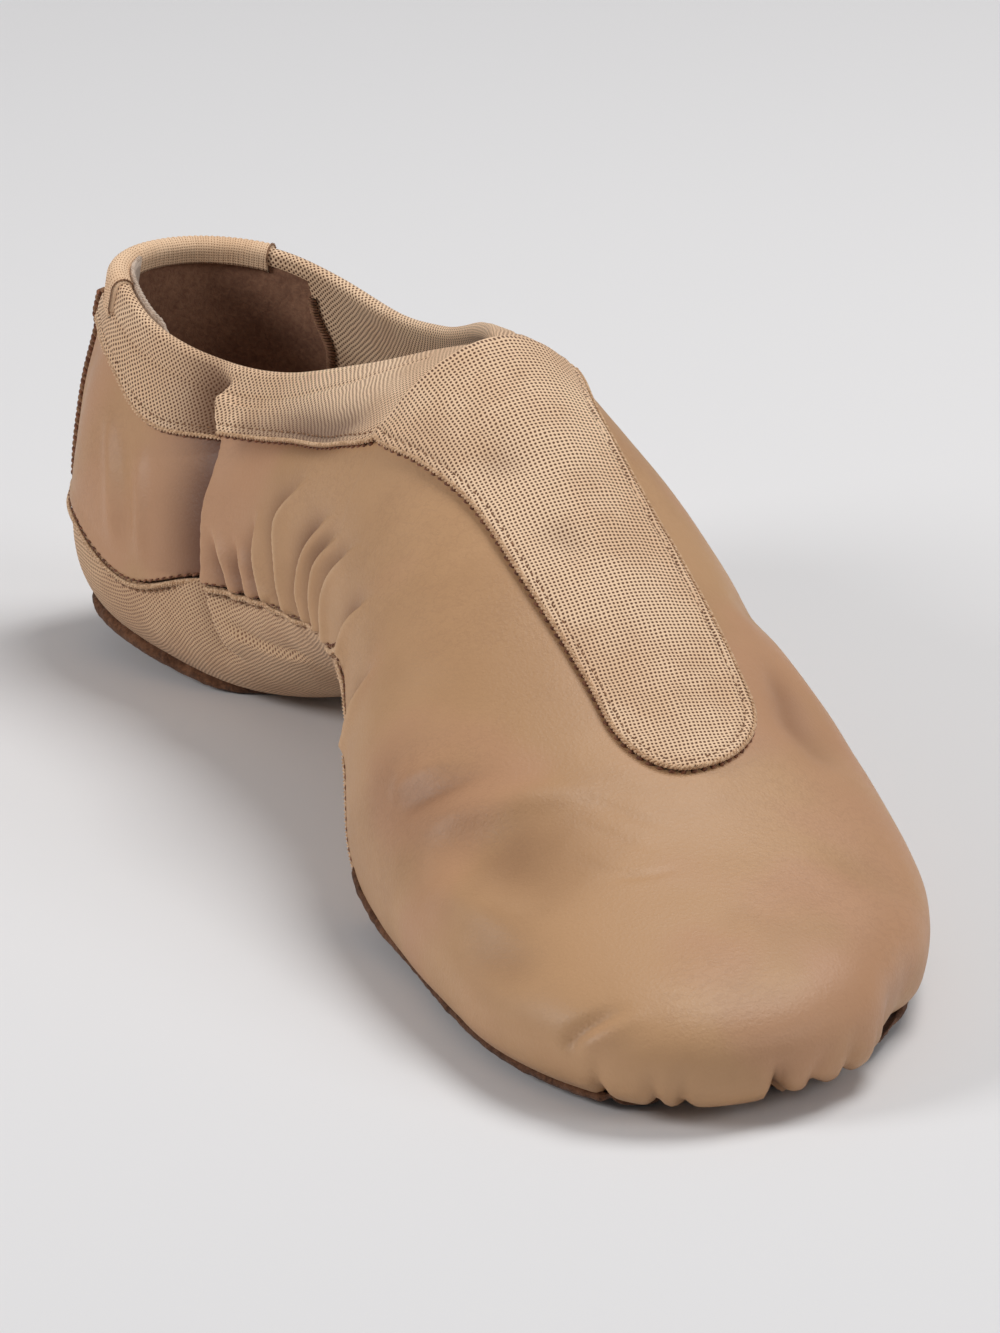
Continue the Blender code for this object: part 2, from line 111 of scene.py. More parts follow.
def outlineAt(a):
    front = last["length"] - last["toePivot"]
    heel = np.clip(a / last["heelTurn"], 0, 1) * math.pi / 2
    toe = np.clip((a - 1 + last["toeTurn"]) / last["toeTurn"], 0, 1) * math.pi / 2
    between = (a - last["heelTurn"]) / (1 - last["heelTurn"] - last["toeTurn"])
    straight = last["heelPivot"] + (front - last["heelPivot"]) * between
    back = last["heelPivot"] * (1 - np.cos(heel) ** (2 / last["heelRound"]))
    nose = front + last["toePivot"] * np.sin(toe) ** (2 / last["toeRound"])
    s = np.where(a < last["heelTurn"], back, np.where(a > 1 - last["toeTurn"], nose, straight))
    leftHeel = np.sin(heel) ** (2 / last["heelRound"])
    leftToe = np.cos(toe) ** (2 / last["toeRound"])
    left = np.where(a < last["heelTurn"], leftHeel, leftToe)
    return s, np.where(left < 1e-6, 0, left)


def middleLine(s):
    first, final, ease = last["heelPivot"], last["length"] - last["toePivot"], last["ease"]
    near = np.clip(s, first - ease, first + ease)
    s = np.where(s < first + ease, first + (near - first + ease) ** 2 / (4 * ease), s)
    far = np.clip(s, final - ease, final + ease)
    return np.where(s > final - ease, final - (final + ease - far) ** 2 / (4 * ease), s)


denseStations = np.linspace(0, 1, 4001)
denseShares = outlineAt(denseStations)[0] / last["length"]


def stationAt(share):
    return np.interp(share, denseShares, denseStations)


def shareOf(a):
    return outlineAt(a)[0] / last["length"]


def rawPoint(a, v, side):
    a, v, side = np.broadcast_arrays(np.asarray(a, float), np.asarray(v, float), np.asarray(side, float))
    sOut, left = outlineAt(a)
    at = sOut / last["length"]
    sMid = middleLine(sOut)
    atMid = sMid / last["length"]
    ahead = sOut - sMid
    across = bySide(sideTable, at, side) * last["ball"] / 2 * left
    reach = np.maximum(np.hypot(ahead, across), 1e-6)
    tilt = ahead / reach
    belly = column(sideTable, "belly", at) * last["instep"]
    under = last["soleLevel"] - last["press"] + column(spineTable, "under", atMid) * last["instep"]
    nudge = 0.005  # of the length, to either side of where a slope is read
    fall = {}
    for name in ("under", "ridge"):
        change = column(spineTable, name, atMid + nudge) - column(spineTable, name, atMid - nudge)
        fall[name] = change * last["instep"] / (2 * nudge * last["length"])
    isOpen = at < last["throat"]
    ridge = column(spineTable, "ridge", atMid)
    top = np.where(isOpen, bySide(rimTable, at, side, "Z"), ridge) * last["instep"]
    spread = np.where(isOpen, np.maximum(bySide(rimTable, at, side), 0), 0)
    lean = np.radians(np.where(isOpen, np.maximum(column(rimTable, "lean", at), 0), 0))
    fallTop = np.where(isOpen, 0, fall["ridge"])
    flat = column(sideTable, "flat", at)
    edge = column(sideTable, "edge", at)
    low = np.clip(v, 0, 1)
    lowR = bezierAt(0, flat, 1, 1, low)
    afterUnder = under + fall["under"] * tilt * flat * reach
    lowZ = bezierAt(under, afterUnder, belly - edge * (belly - under), belly, low)
    rise = column(sideTable, "rise", at)
    handle = (1 - spread) * reach * np.cos(lean) + (top - belly) * np.sin(lean)
    handle = column(sideTable, "crown", at) * handle
    level = handle * np.cos(lean)
    high = np.clip(v - 1, 0, 1)
    highR = bezierAt(1, 1, spread + level / reach, spread, high)
    beforeTop = top - handle * np.sin(lean) + fallTop * tilt * level
    highZ = bezierAt(belly, belly + rise * (top - belly), beforeTop, top, high)
    r = np.where(v <= 1, lowR, highR)
    z = np.where(v <= 1, lowZ, highZ)
    bend = last["pressBend"]
    over = np.clip(z - last["soleLevel"], -bend, bend)
    z = np.where(z > last["soleLevel"] + bend, z, last["soleLevel"] + (over + bend) ** 2 / (4 * bend))
    s = sMid + r * ahead
    t = r * across * side
    bow = last["bow"] * ((s / last["length"] - last["bowAt"]) / 0.5) ** 2
    return np.stack([-t - bow, last["length"] / 2 - s, z], axis=-1)


def shiftToFrame():
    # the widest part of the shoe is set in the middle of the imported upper's box
    a = np.linspace(0, 1, 900)[:, None]
    v = np.linspace(0.6, 1.4, 50)[None, :]
    raw = np.concatenate([rawPoint(a, v, side).reshape(-1, 3) for side in (1, -1)])
    low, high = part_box("upper")
    middle = (raw.min(axis=0) + raw.max(axis=0)) / 2
    return np.array([(low[0] + high[0]) / 2 - middle[0], (low[1] + high[1]) / 2 - middle[1], 0])


frameShift = shiftToFrame()


def shoePoint(a, v, side):
    return rawPoint(a, v, side) + frameShift


def unit(vectors):
    return vectors / np.maximum(np.linalg.norm(vectors, axis=-1, keepdims=True), 1e-12)


def shoeNormal(a, v, side):
    probe = 0.003  # a small step along the station and along the line
    a = np.asarray(a, float)
    v = np.asarray(v, float)
    alongA = shoePoint(np.minimum(a + probe, 1), v, side) - shoePoint(np.maximum(a - probe, 0), v, side)
    alongV = shoePoint(a, np.minimum(v + probe, 2), side) - shoePoint(a, np.maximum(v - probe, 0), side)
    return unit(np.cross(alongA, alongV) * np.asarray(side, float)[..., None])


tongue = {"tipAt": 0.772, "roundEnd": 14 * mm}


def meshLine(a, side):
    tip, roundLength = tongue["tipAt"], tongue["roundEnd"] / last["length"]
    at = shareOf(a)
    past = np.clip((at - tip + roundLength) / roundLength, 0, 1)
    return 2 - (2 - bySide(lineTable, at, side)) * np.sqrt(1 - past * past)


def lowLine(a):
    return column(lineTable, "low", shareOf(a))


# creases. A path is (share of the length, line) from its lower end up: line 1 is the widest, 2 the rim or
# ridge. Side 1 is the inner side and -1 the outer one.
# A fold stands proud ahead of its path and sinks behind it; heights and reaches are in millimetres.
# dark paints shade into the colour behind each fold (strength, then reach in millimetres), and the last value
# paints a highlight along each fold's crest
archGathers = {
    "side": 1, "behind": 2.0, "ahead": 1.6, "reachBehind": 1.9, "reachAhead": 2.2, "soft": 1.15,
    "dark": (0.75, 3.8), "wearAndHighlight": 0.8,
    "fade": (0.06, 0.55),
    "paths": (
        ((0.284, 0.90), (0.266, 1.08), (0.245, 1.27)),
        ((0.303, 0.90), (0.289, 1.06), (0.274, 1.22)),
        ((0.323, 0.90), (0.307, 1.09), (0.297, 1.36)),
        ((0.353, 0.84), (0.339, 1.07), (0.332, 1.30), (0.370, 1.46)),
        ((0.386, 0.82), (0.372, 1.00), (0.382, 1.17), (0.420, 1.31)),
        ((0.412, 0.85), (0.398, 1.00), (0.404, 1.14), (0.440, 1.27)),
        ((0.442, 0.92), (0.424, 1.03), (0.433, 1.14), (0.472, 1.33)),
        ((0.492, 1.00), (0.484, 1.10), (0.495, 1.20), (0.520, 1.32)),
        ((0.538, 0.98), (0.548, 1.10), (0.562, 1.31)),
    ),
}
# dark is painted shade behind a fold; the last column is a painted highlight on its crest
foldColumns = ("side", "behind", "ahead", "reachBehind", "reachAhead", "soft", "fade", "path", "dark", "wearAndHighlight")
bigFolds = [dict(zip(foldColumns, row)) for row in (
    # the fold through the heel cup and its collar, then the creases of the arch mesh and the outer side
    (1, 4.0, 1.8, 6.5, 8.0, 1.3, (0.05, 0.12),
     ((0.243, 0.93), (0.238, 1.14), (0.233, 1.34), (0.233, 1.52), (0.228, 1.68), (0.214, 1.80),
     (0.207, 1.89), (0.214, 1.99)), (1.15, 10.5), 0.3),
    (1, 1.8, 1.4, 4.0, 5.0, 1.0, (0.35, 0.05), ((0.262, 0.56), (0.250, 0.74), (0.243, 0.96)), (0.6, 6.0)),
    (1, 0.8, 0.5, 3.0, 4.0, 0.7, (0.2, 0.2), ((0.258, 0.80), (0.300, 0.66), (0.345, 0.55))),
    (-1, 0.9, 0.5, 3.0, 5.0, 0.8, (0.2, 0.4), ((0.300, 1.62), (0.292, 1.40), (0.300, 1.15), (0.292, 0.95))),
    (-1, 0.6, 0.4, 2.2, 3.5, 0.6, (0.6, 0.05), ((0.372, 1.34), (0.352, 1.12), (0.356, 0.86))),
    (-1, 0.6, 0.4, 2.2, 3.5, 0.6, (0.6, 0.05), ((0.425, 1.26), (0.400, 1.05), (0.404, 0.80))),
    (-1, 0.6, 0.4, 2.2, 3.5, 0.6, (0.6, 0.05), ((0.482, 1.20), (0.455, 0.98), (0.458, 0.72))),
    (-1, 0.5, 0.3, 2.2, 3.0, 0.6, (0.6, 0.05), ((0.338, 1.28), (0.322, 1.10), (0.326, 0.92))),
)]
# dark is painted shade along a crease; where it is not given, a hollow gets painted shade by its depth
creaseColumns = ("side", "height", "width", "fade", "path", "dark")
softCreases = [dict(zip(creaseColumns, row)) for row in (
    # the heel cup's soft upright folds
    (1, 0.7, 1.8, (0.3, 0.3), ((0.135, 0.96), (0.118, 1.33), (0.086, 1.66))),
    (1, -0.5, 2.2, (0.3, 0.3), ((0.150, 0.95), (0.140, 1.25), (0.114, 1.63))),
    (1, 0.8, 1.8, (0.3, 0.3), ((0.169, 0.94), (0.157, 1.28), (0.139, 1.60))),
    (-1, 0.6, 2.4, (0.4, 0.4), ((0.150, 0.96), (0.130, 1.30), (0.110, 1.66))),
    (-1, -0.7, 2.6, (0.4, 0.4), ((0.190, 0.96), (0.175, 1.30), (0.160, 1.60))),
    # the vamp's flex lines and dips over the ball
    (1, -1.8, 7.4, (0.35, 0.5), ((0.722, 1.22), (0.758, 1.40), (0.798, 1.50), (0.858, 1.62)), 0.14),
    (1, 1.3, 3.2, (0.3, 0.5), ((0.705, 1.22), (0.712, 1.31), (0.740, 1.52), (0.762, 1.71), (0.782, 1.83))),
    (1, -0.6, 2.6, (0.3, 0.6), ((0.672, 1.20), (0.690, 1.32), (0.704, 1.44), (0.716, 1.60)), 0.16),
    (1, 0.8, 2.6, (0.2, 0.6), ((0.655, 1.22), (0.680, 1.40), (0.695, 1.55))),
    (1, 1.4, 4.0, (0.3, 0.5), ((0.745, 1.20), (0.800, 1.32), (0.863, 1.40))),
    (1, -1.2, 5.0, (0.4, 0.5), ((0.800, 1.16), (0.865, 1.24), (0.920, 1.34))),
    (1, -1.1, 1.3, (0.2, 0.5), ((0.930, 1.00), (0.937, 1.10), (0.952, 1.22), (0.967, 1.29))),
    (1, 0.5, 1.6, (0.2, 0.5), ((0.942, 1.00), (0.950, 1.10), (0.965, 1.22), (0.978, 1.30))),
    (-1, -2.0, 5.0, (0.4, 0.4), ((0.650, 1.46), (0.700, 1.55), (0.765, 1.61))),
    (-1, -0.8, 3.5, (0.4, 0.5), ((0.700, 1.34), (0.745, 1.50), (0.780, 1.70))),
    (-1, -0.9, 6.0, (0.4, 0.5), ((0.860, 1.22), (0.885, 1.50), (0.905, 1.76))),
    (-1, -1.0, 5.0, (0.4, 0.4), ((0.560, 1.20), (0.600, 1.40), (0.640, 1.60))),
    # the toe is drawn in at its outer front
    (-1, -2.2, 9.0, (0.4, 0.4), ((0.905, 0.80), (0.945, 0.84), (0.980, 0.90)), 0.0),
    # painted shade: the vamp is darkened where it bends, with no change of height
    (1, 0.0, 15.0, (0.3, 0.3), ((0.740, 1.42), (0.820, 1.60), (0.900, 1.70)), 0.26),
    (1, 0.0, 12.0, (0.3, 0.3), ((0.600, 1.12), (0.670, 1.26), (0.760, 1.30)), 0.28),
    # fine wrinkles that run with the flex lines
    (1, -0.22, 0.9, (0.4, 0.4), ((0.680, 1.24), (0.700, 1.40), (0.722, 1.60))),
    (1, -0.20, 0.8, (0.4, 0.4), ((0.664, 1.22), (0.684, 1.38), (0.700, 1.50))),
    (1, -0.22, 0.9, (0.4, 0.4), ((0.760, 1.70), (0.790, 1.80), (0.835, 1.92))),
    (1, -0.20, 0.8, (0.4, 0.4), ((0.800, 1.62), (0.860, 1.72), (0.930, 1.80))),
    (1, -0.20, 0.8, (0.4, 0.4), ((0.850, 1.66), (0.900, 1.78), (0.945, 1.86))),
    (1, -0.20, 0.8, (0.4, 0.4), ((0.775, 1.66), (0.812, 1.76), (0.870, 1.86))),
    # the stretch mesh: a long hollow along the near side and shallow dips over the tongue, all with painted
    # shade
    (1, -1.5, 4.5, (0.4, 0.4), ((0.245, 1.83), (0.300, 1.77), (0.370, 1.64), (0.440, 1.62))),
    # painted shade only, with no change of height: a dark band along the mesh under the rim
    (1, 0.0, 4.2, (0.1, 0.4), ((0.232, 1.74), (0.297, 1.74), (0.370, 1.62), (0.440, 1.56)), 0.5),
    (1, -0.5, 4.0, (0.5, 0.5), ((0.495, 1.74), (0.522, 1.82), (0.545, 1.88)), 0.30),
    (1, -0.4, 3.5, (0.5, 0.5), ((0.560, 1.86), (0.585, 1.92), (0.610, 1.97)), 0.25),
    # painted shade only, with no change of height, over the tongue
    (1, 0.0, 5.0, (0.3, 0.4), ((0.440, 1.62), (0.480, 1.66), (0.520, 1.72)), 0.20),
    # the heel's back seam stands on a soft ridge
    (1, 1.9, 3.4, (0.05, 0.05), ((0.013, 1.04), (0.013, 1.45), (0.013, 1.92))),
    # wider, fainter dips over the mesh
    (1, -0.5, 4.0, (0.5, 0.5), ((0.460, 1.70), (0.510, 1.86), (0.560, 1.98))),
    (1, -0.4, 3.5, (0.5, 0.5), ((0.540, 1.80), (0.590, 1.90), (0.640, 1.99))),
    (-1, -0.9, 5.0, (0.4, 0.4), ((0.240, 1.84), (0.310, 1.78), (0.400, 1.76))),
)]
# dark paints shade into each pleat's trough
toePleats = {
    "inner": (0.905, 0.936, 0.957, 0.979), "outer": (0.9975, 0.980, 0.966, 0.947, 0.932, 0.909),
    "depth": 2.1, "width": 1.15, "bulge": 0.7, "from": 0.46, "to": 1.16, "middle": 0.78, "spreadLine": 0.24,
    "bulgeFrom": 0.88, "bulgeFull": 0.94, "lowest": 0.3, "highest": 1.35, "dark": 0.5,
}
# how far folds and creases reach in their own widths, how their height and painted shade fall away, and where
# and how wide the painted highlight on a fold's crest lies
fallAway = {
    "fold": 3.5, "foldDark": 2.5, "crease": 2.8, "aheadPower": 1.5, "darkPower": 1.4,
    "highlightAt": 0.5, "highlightWidth": 0.9, "usualDark": 0.3, "darkByDepth": 5,
}
# size, seed and height in millimetres of the slow bumps that no crease makes
unevenSkin = ((22 * mm, 3.1, 0.45), (9 * mm, 7.7, 0.14))


def smoothStep(x, low=0.0, high=1.0):
    u = np.clip((x - low) / (high - low), 0, 1)
    return u * u * (3 - 2 * u)


def smoothPath(pairs, steps=10):
    # a curve through the pairs that doesn't overshoot at its ends
    p = np.array(pairs, float)
    p = np.vstack([2 * p[0] - p[1], p, 2 * p[-1] - p[-2]])
    out = []
    for i in range(1, len(p) - 2):
        u = np.linspace(0, 1, steps, endpoint=False)[:, None]
        out.append(0.5 * (
            2 * p[i] + (p[i + 1] - p[i - 1]) * u
            + (2 * p[i - 1] - 5 * p[i] + 4 * p[i + 1] - p[i + 2]) * u ** 2
            + (3 * p[i] - p[i - 1] - 3 * p[i + 1] + p[i + 2]) * u ** 3
        ))
    return np.vstack(out + [p[-2:-1]])


def pathOnShoe(pairs, side):
    line = smoothPath(pairs)
    a = stationAt(line[:, 0])
    sides = np.full(len(a), side)
    return shoePoint(a, line[:, 1], sides), shoeNormal(a, line[:, 1], sides)


def nearPath(points, line, normals, limit):
    # for the points near a path: which they are, signed distance across it, and place along it from 0 to 1
    low, high = line.min(axis=0) - limit, line.max(axis=0) + limit
    chosen = np.nonzero(np.all((points > low) & (points < high), axis=1))[0]
    p = points[chosen][:, None, :]
    step = line[1:] - line[:-1]
    length = np.linalg.norm(step, axis=1)
    u = np.clip(np.sum((p - line[:-1]) * step, axis=2) / length ** 2, 0, 1)
    gap = p - (line[:-1] + u[..., None] * step)
    distance = np.linalg.norm(gap, axis=2)
    best = np.argmin(distance, axis=1)
    rows = np.arange(len(chosen))
    ahead = unit(np.cross(step, (normals[1:] + normals[:-1]) / 2))
    sign = np.sign(np.sum(gap[rows, best] * ahead[best], axis=1))
    before = np.concatenate([[0], np.cumsum(length)])
    place = (before[best] + u[rows, best] * length[best]) / before[-1]
    return chosen, distance[rows, best] * np.where(sign == 0, 1, sign), place


def fadeEnds(place, fade):
    return smoothStep(place / max(fade[0], 1e-3)) * smoothStep((1 - place) / max(fade[1], 1e-3))


def addFold(height, shade, points, fold, path):
    fall = fallAway
    line, normals = pathOnShoe(path, fold["side"])
    dark, reach = fold.get("dark", (fall["usualDark"], fold["reachBehind"]))
    limit = max(fall["fold"] * max(fold["reachBehind"], fold["reachAhead"]), fall["foldDark"] * reach)
    chosen, across, place = nearPath(points, line, normals, limit * mm)
    across = across * fold["side"]
    share = smoothStep(across / (fold["soft"] * mm), -1, 1)
    behind = -fold["behind"] * np.exp(-np.abs(across) / (fold["reachBehind"] * mm))
    ahead = fold["ahead"] * np.exp(-(np.abs(across) / (fold["reachAhead"] * mm)) ** fall["aheadPower"])
    ends = fadeEnds(place, fold["fade"])
    height[chosen] += ((1 - share) * behind + share * ahead) * ends * mm
    # painted shade on the fold's hidden side, and a painted highlight along its crest
    shadow = np.exp(-(np.abs(across) / (reach * mm)) ** fall["darkPower"])
    shade[chosen] += (1 - share) * dark * shadow * ends
    crestHighlight = np.exp(-((across / mm - fall["highlightAt"]) / fall["highlightWidth"]) ** 2)
    shade[chosen] -= fold.get("wearAndHighlight", 0) * crestHighlight * ends


def addCrease(height, shade, points, crease):
    line, normals = pathOnShoe(crease["path"], crease["side"])
    chosen, across, place = nearPath(points, line, normals, fallAway["crease"] * crease["width"] * mm)
    shape = np.exp(-(across / (crease["width"] * mm)) ** 2)
    ends = fadeEnds(place, crease["fade"])
    height[chosen] += crease["height"] * shape * ends * mm
    # painted shade along the crease
    shade[chosen] += crease.get("dark", max(-crease["height"], 0) / fallAway["darkByDepth"]) * shape * ends


def addPleats(height, shade, points, a, v):
    pleats = toePleats
    onToe = smoothStep(a, pleats["bulgeFrom"], pleats["bulgeFull"])
    onToe = onToe * (v > pleats["lowest"]) * (v < pleats["highest"])
    height += pleats["bulge"] * onToe * np.exp(-((v - pleats["middle"]) / pleats["spreadLine"]) ** 2) * mm
    for name, sign in (("inner", 1), ("outer", -1)):
        for station in pleats[name]:
            share = float(shareOf(np.array(station)))
            wobble = 0.004 * math.sin(station * 977)
            path = ((share, pleats["from"]), (share + wobble, 0.8), (share, pleats["to"]))
            line, normals = pathOnShoe(path, sign)
            chosen, across, place = nearPath(points, line, normals, 4 * pleats["width"] * mm)
            deep = (1 - place) ** 0.8 * smoothStep((1 - place) / 0.6)
            trough = np.exp(-(across / (pleats["width"] * (0.7 + 0.7 * place) * mm)) ** 2)
            size = 0.75 + 0.25 * math.sin(station * 613)
            height[chosen] -= pleats["depth"] * size * trough * deep * mm
            # painted shade in each pleat's trough
            shade[chosen] += pleats["dark"] * size * trough * deep


def unevenness(points, *layers):
    total = 0
    for size, seed, height in layers:
        shift = Vector((seed, seed * 1.7, seed * 0.3))
        total = total + np.array([noise.noise(Vector(p) / size + shift) for p in points.tolist()]) * height
    return total


def reliefAndShade(points, a, v):
    # height of the skin over the last, and how much painted shade (to 1) or painted highlight (to -1) its
    # colour takes
    height = np.zeros(len(points))
    shade = np.zeros(len(points))
    for path in archGathers["paths"]:
        addFold(height, shade, points, archGathers, path)
    for fold in bigFolds:
        addFold(height, shade, points, fold, fold["path"])
    for crease in softCreases:
        addCrease(height, shade, points, crease)
    addPleats(height, shade, points, a, v)
    soft = unevenness(points, *unevenSkin)
    return height + soft * mm * smoothStep(v, 0.5, 0.9), np.clip(shade, -1, 1)


def relief(points, a, v):
    return reliefAndShade(points, a, v)[0]


# sheets: a grid of columns and rows over the shoe, welded where its points meet
def ringOf(stations, closed):
    inner = stations[::-1]
    outer = stations[1:-1] if closed else stations[1:]
    return np.concatenate([inner, outer]), np.concatenate([np.ones(len(inner)), -np.ones(len(outer))])


def gridQuads(columns, rows, closed, offset=0):
    c, r = np.meshgrid(np.arange(columns if closed else columns - 1), np.arange(rows - 1), indexing="ij")
    after = (c + 1) % columns
    quads = np.stack([c * rows + r, c * rows + r + 1, after * rows + r + 1, after * rows + r], axis=-1)
    return quads.reshape(-1, 4) + offset


def weldAll(points, quads, extra):
    key = np.round(points / (0.004 * mm)).astype(np.int64)
    found, first, back = np.unique(key, axis=0, return_index=True, return_inverse=True)
    return points[first], back.ravel()[quads], [value[first] for value in extra]


def vertexNormals(points, quads):
    p = points[quads]
    facing = np.cross(p[:, 2] - p[:, 0], p[:, 3] - p[:, 1])
    normals = np.zeros_like(points)
    for corner in range(4):
        for axis in range(3):
            normals[:, axis] += np.bincount(quads[:, corner], weights=facing[:, axis], minlength=len(points))
    return unit(normals)


def overRows(a, side, rows):
    return np.repeat(a[:, None], rows, axis=1), np.repeat(side[:, None], rows, axis=1)


def skinAt(a, v, side):
    # points and normals of the last: a and side have a value for each column, v has rows for each column
    aa, ss = overRows(a, side, v.shape[1])
    return shoePoint(aa, v, ss), shoeNormal(aa, v, ss)


def shoeSheet(a, side, v, closed, uv=None, more=None):
    aa, ss = overRows(a, side, v.shape[1])
    quads = gridQuads(*v.shape, closed)
    values = [aa.ravel(), v.ravel(), ss.ravel()]
    if more is not None:
        values.append(more.ravel())
    points, welded, extra = weldAll(shoePoint(aa, v, ss).reshape(-1, 3), quads, values)
    height, shade = reliefAndShade(points, *extra[:2])
    return {
        "points": points, "quads": welded, "uv": uv.reshape(-1, 2)[quads] if uv is not None else None,
        "a": extra[0], "v": extra[1], "side": extra[2], "more": extra[-1],
        "normals": vertexNormals(points, welded), "relief": height, "shade": shade,
    }


def raised(sheet, offset):
    return sheet["points"] + sheet["normals"] * offset[:, None]


def makePiece(name, points, quads, looks, uv=None, lookOfFace=None, shade=None, replaced=()):
    keep = quads != np.roll(quads, 1, axis=1)
    counts = keep.sum(axis=1)
    whole = counts >= 3
    flat = quads[whole][keep[whole]]
    counts = counts[whole]
    points = points.copy()
    points[:, 2] = np.maximum(points[:, 2], 0.02 * mm)  # nothing goes through the floor
    mesh = bpy.data.meshes.new(name)
    mesh.vertices.add(len(points))
    mesh.vertices.foreach_set("co", points.astype(np.float32).ravel())
    mesh.loops.add(len(flat))
    mesh.loops.foreach_set("vertex_index", flat.astype(np.int32))
    mesh.polygons.add(len(counts))
    mesh.polygons.foreach_set("loop_start", np.concatenate([[0], np.cumsum(counts)[:-1]]).astype(np.int32))
    if lookOfFace is not None:
        mesh.polygons.foreach_set("material_index", lookOfFace[whole].astype(np.int32))
    mesh.update(calc_edges=True)
    if uv is not None:
        layer = mesh.uv_layers.new(name="cloth")
        layer.data.foreach_set("uv", uv[whole][keep[whole]].astype(np.float32).ravel())
    # painted shade and highlight, read by the materials as the crease attribute
    if shade is not None:
        layer = mesh.attributes.new("crease", "FLOAT", "POINT")
        layer.data.foreach_set("value", shade.astype(np.float32))
    mesh.validate()
    mesh.shade_smooth()
    piece = bpy.data.objects.new(name, mesh)
    for look in looks:
        mesh.materials.append(materials[look])
    bpy.context.scene.collection.objects.link(piece)
    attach(piece, "root")
    if replaced:
        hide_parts(*replaced)


def closedShell(sheet, outside, inside):
    # outside and inside faces with a strip round every open border
    count = len(sheet["points"])
    quads = sheet["quads"]
    edges = np.stack([quads, np.roll(quads, -1, axis=1)], axis=-1).reshape(-1, 2)
    edges = edges[edges[:, 0] != edges[:, 1]]
    key = np.sort(edges, axis=1)
    found, where, times = np.unique(key, axis=0, return_index=True, return_counts=True)
    border = edges[where[times == 1]]
    strip = np.stack([border[:, 1], border[:, 0], border[:, 0] + count, border[:, 1] + count], axis=-1)
    points = np.vstack([raised(sheet, outside), raised(sheet, inside)])
    allQuads = np.vstack([quads, quads[:, ::-1] + count, strip])
    uv = sheet["uv"]
    if uv is not None:
        uv = np.concatenate([uv, uv[:, ::-1], np.zeros((len(strip), 4, 2))])
    return points, allQuads, uv


def sectionArcs(a, side, samples=121):
    v = np.linspace(0, 2, samples)
    points = shoePoint(a[:, None], v[None, :], side[:, None])
    arcs = np.concatenate([
        np.zeros((len(a), 1)), np.cumsum(np.linalg.norm(np.diff(points, axis=1), axis=2), axis=1)
    ], axis=1)
    return v, arcs


def arcOf(table, v):
    return np.array([np.interp(v[i], table[0], table[1][i]) for i in range(len(v))])


def lineOf(table, arc):
    return np.array([np.interp(arc[i], table[1][i], table[0]) for i in range(len(arc))])


def lengthAlong(points):
    return np.concatenate([[0], np.cumsum(np.linalg.norm(np.diff(points, axis=0), axis=1))])


def nearest(cloud, points):
    # for each point, the number of the cloud's nearest point and the distance to it
    tree = KDTree(len(cloud))
    for i, point in enumerate(cloud.tolist()):
        tree.insert(point, i)
    tree.balance()
    found = [tree.find(point) for point in points.tolist()]
    return np.array([f[1] for f in found]), np.array([f[2] for f in found])


def rimFrame(a, side):
    # points of the rim, and the way that the wall rises to it
    rim = shoePoint(a, np.full(len(a), 2.0), side)
    return rim, unit(rim - shoePoint(a, np.full(len(a), 1.985), side))


def overRim(rim, normal, up, sideways, upwards):
    return rim[:, None, :] + normal[:, None, :] * sideways[..., None] + up[:, None, :] * upwards[..., None]


# paths for threads and cords
def surfacePath(a, v, side, outwards=0.0, smoothing=0):
    points = shoePoint(a, v, side)
    normals = shoeNormal(a, v, side)
    height = relief(points, a, v)
    if smoothing:
        window = np.hanning(smoothing + 2)[1:-1]
        padded = np.pad(height, smoothing // 2, mode="edge")
        height = np.convolve(padded, window / window.sum(), mode="valid")[:len(points)]
    return points + normals * (height + outwards)[:, None], normals


def resample(points, normals, step):
    length = lengthAlong(points)
    count = max(int(round(length[-1] / step)), 2)
    at = np.linspace(0, length[-1], count + 1)
    even = np.stack([np.interp(at, length, points[:, i]) for i in range(3)], axis=-1)
    facing = unit(np.stack([np.interp(at, length, normals[:, i]) for i in range(3)], axis=-1))
    tangents = unit(np.gradient(even, axis=0))
    return even, facing, tangents, unit(np.cross(tangents, facing))


def tubeQuads(rings, sides, offset=0):
    r, s = np.meshgrid(np.arange(rings - 1), np.arange(sides), indexing="ij")
    turn = (s + 1) % sides
    quads = np.stack([r * sides + s, r * sides + turn, (r + 1) * sides + turn, (r + 1) * sides + s], axis=-1)
    return quads.reshape(-1, 4) + offset


plainCord = {"perTurn": 8, "sides": 5, "strands": 2, "flat": 1}
plainStitch = {"sides": 6, "rings": 5, "slant": 0, "wander": 0.12, "sizes": 0.12}


def twistedCord(name, slot, path, ownCord, *looks, replaced=()):
    # two or more strands that turn round a path of points and normals
    cord = {**plainCord, **ownCord}
    points, normals, tangents, across = resample(*path, cord["pitch"] / cord["perTurn"])
    turns = np.arange(len(points)) / cord["perTurn"] * 2 * math.pi
    ring = np.linspace(0, 2 * math.pi, cord["sides"], endpoint=False)
    cosine, sine = np.cos(ring)[None, :, None], np.sin(ring)[None, :, None]
    around = cosine * normals[:, None, :] + sine * across[:, None, :]
    out = cord["radius"] - cord["thread"]
    allPoints, allQuads, lookOfFace = [], [], []
    for strand in range(cord["strands"]):
        angle = turns + strand * 2 * math.pi / cord["strands"]
        centre = points + normals * (np.sin(angle) * out * cord["flat"])[:, None]
        centre = centre + across * (np.cos(angle) * out)[:, None]
        allPoints.append((centre[:, None, :] + around * cord["thread"]).reshape(-1, 3))
        quads = tubeQuads(len(points), cord["sides"], strand * len(points) * cord["sides"])
        allQuads.append(quads)
        lookOfFace.append(np.full(len(quads), strand % len(looks)))
    makePiece(name, np.vstack(allPoints), np.vstack(allQuads), looks,
              lookOfFace=np.concatenate(lookOfFace), replaced=replaced)


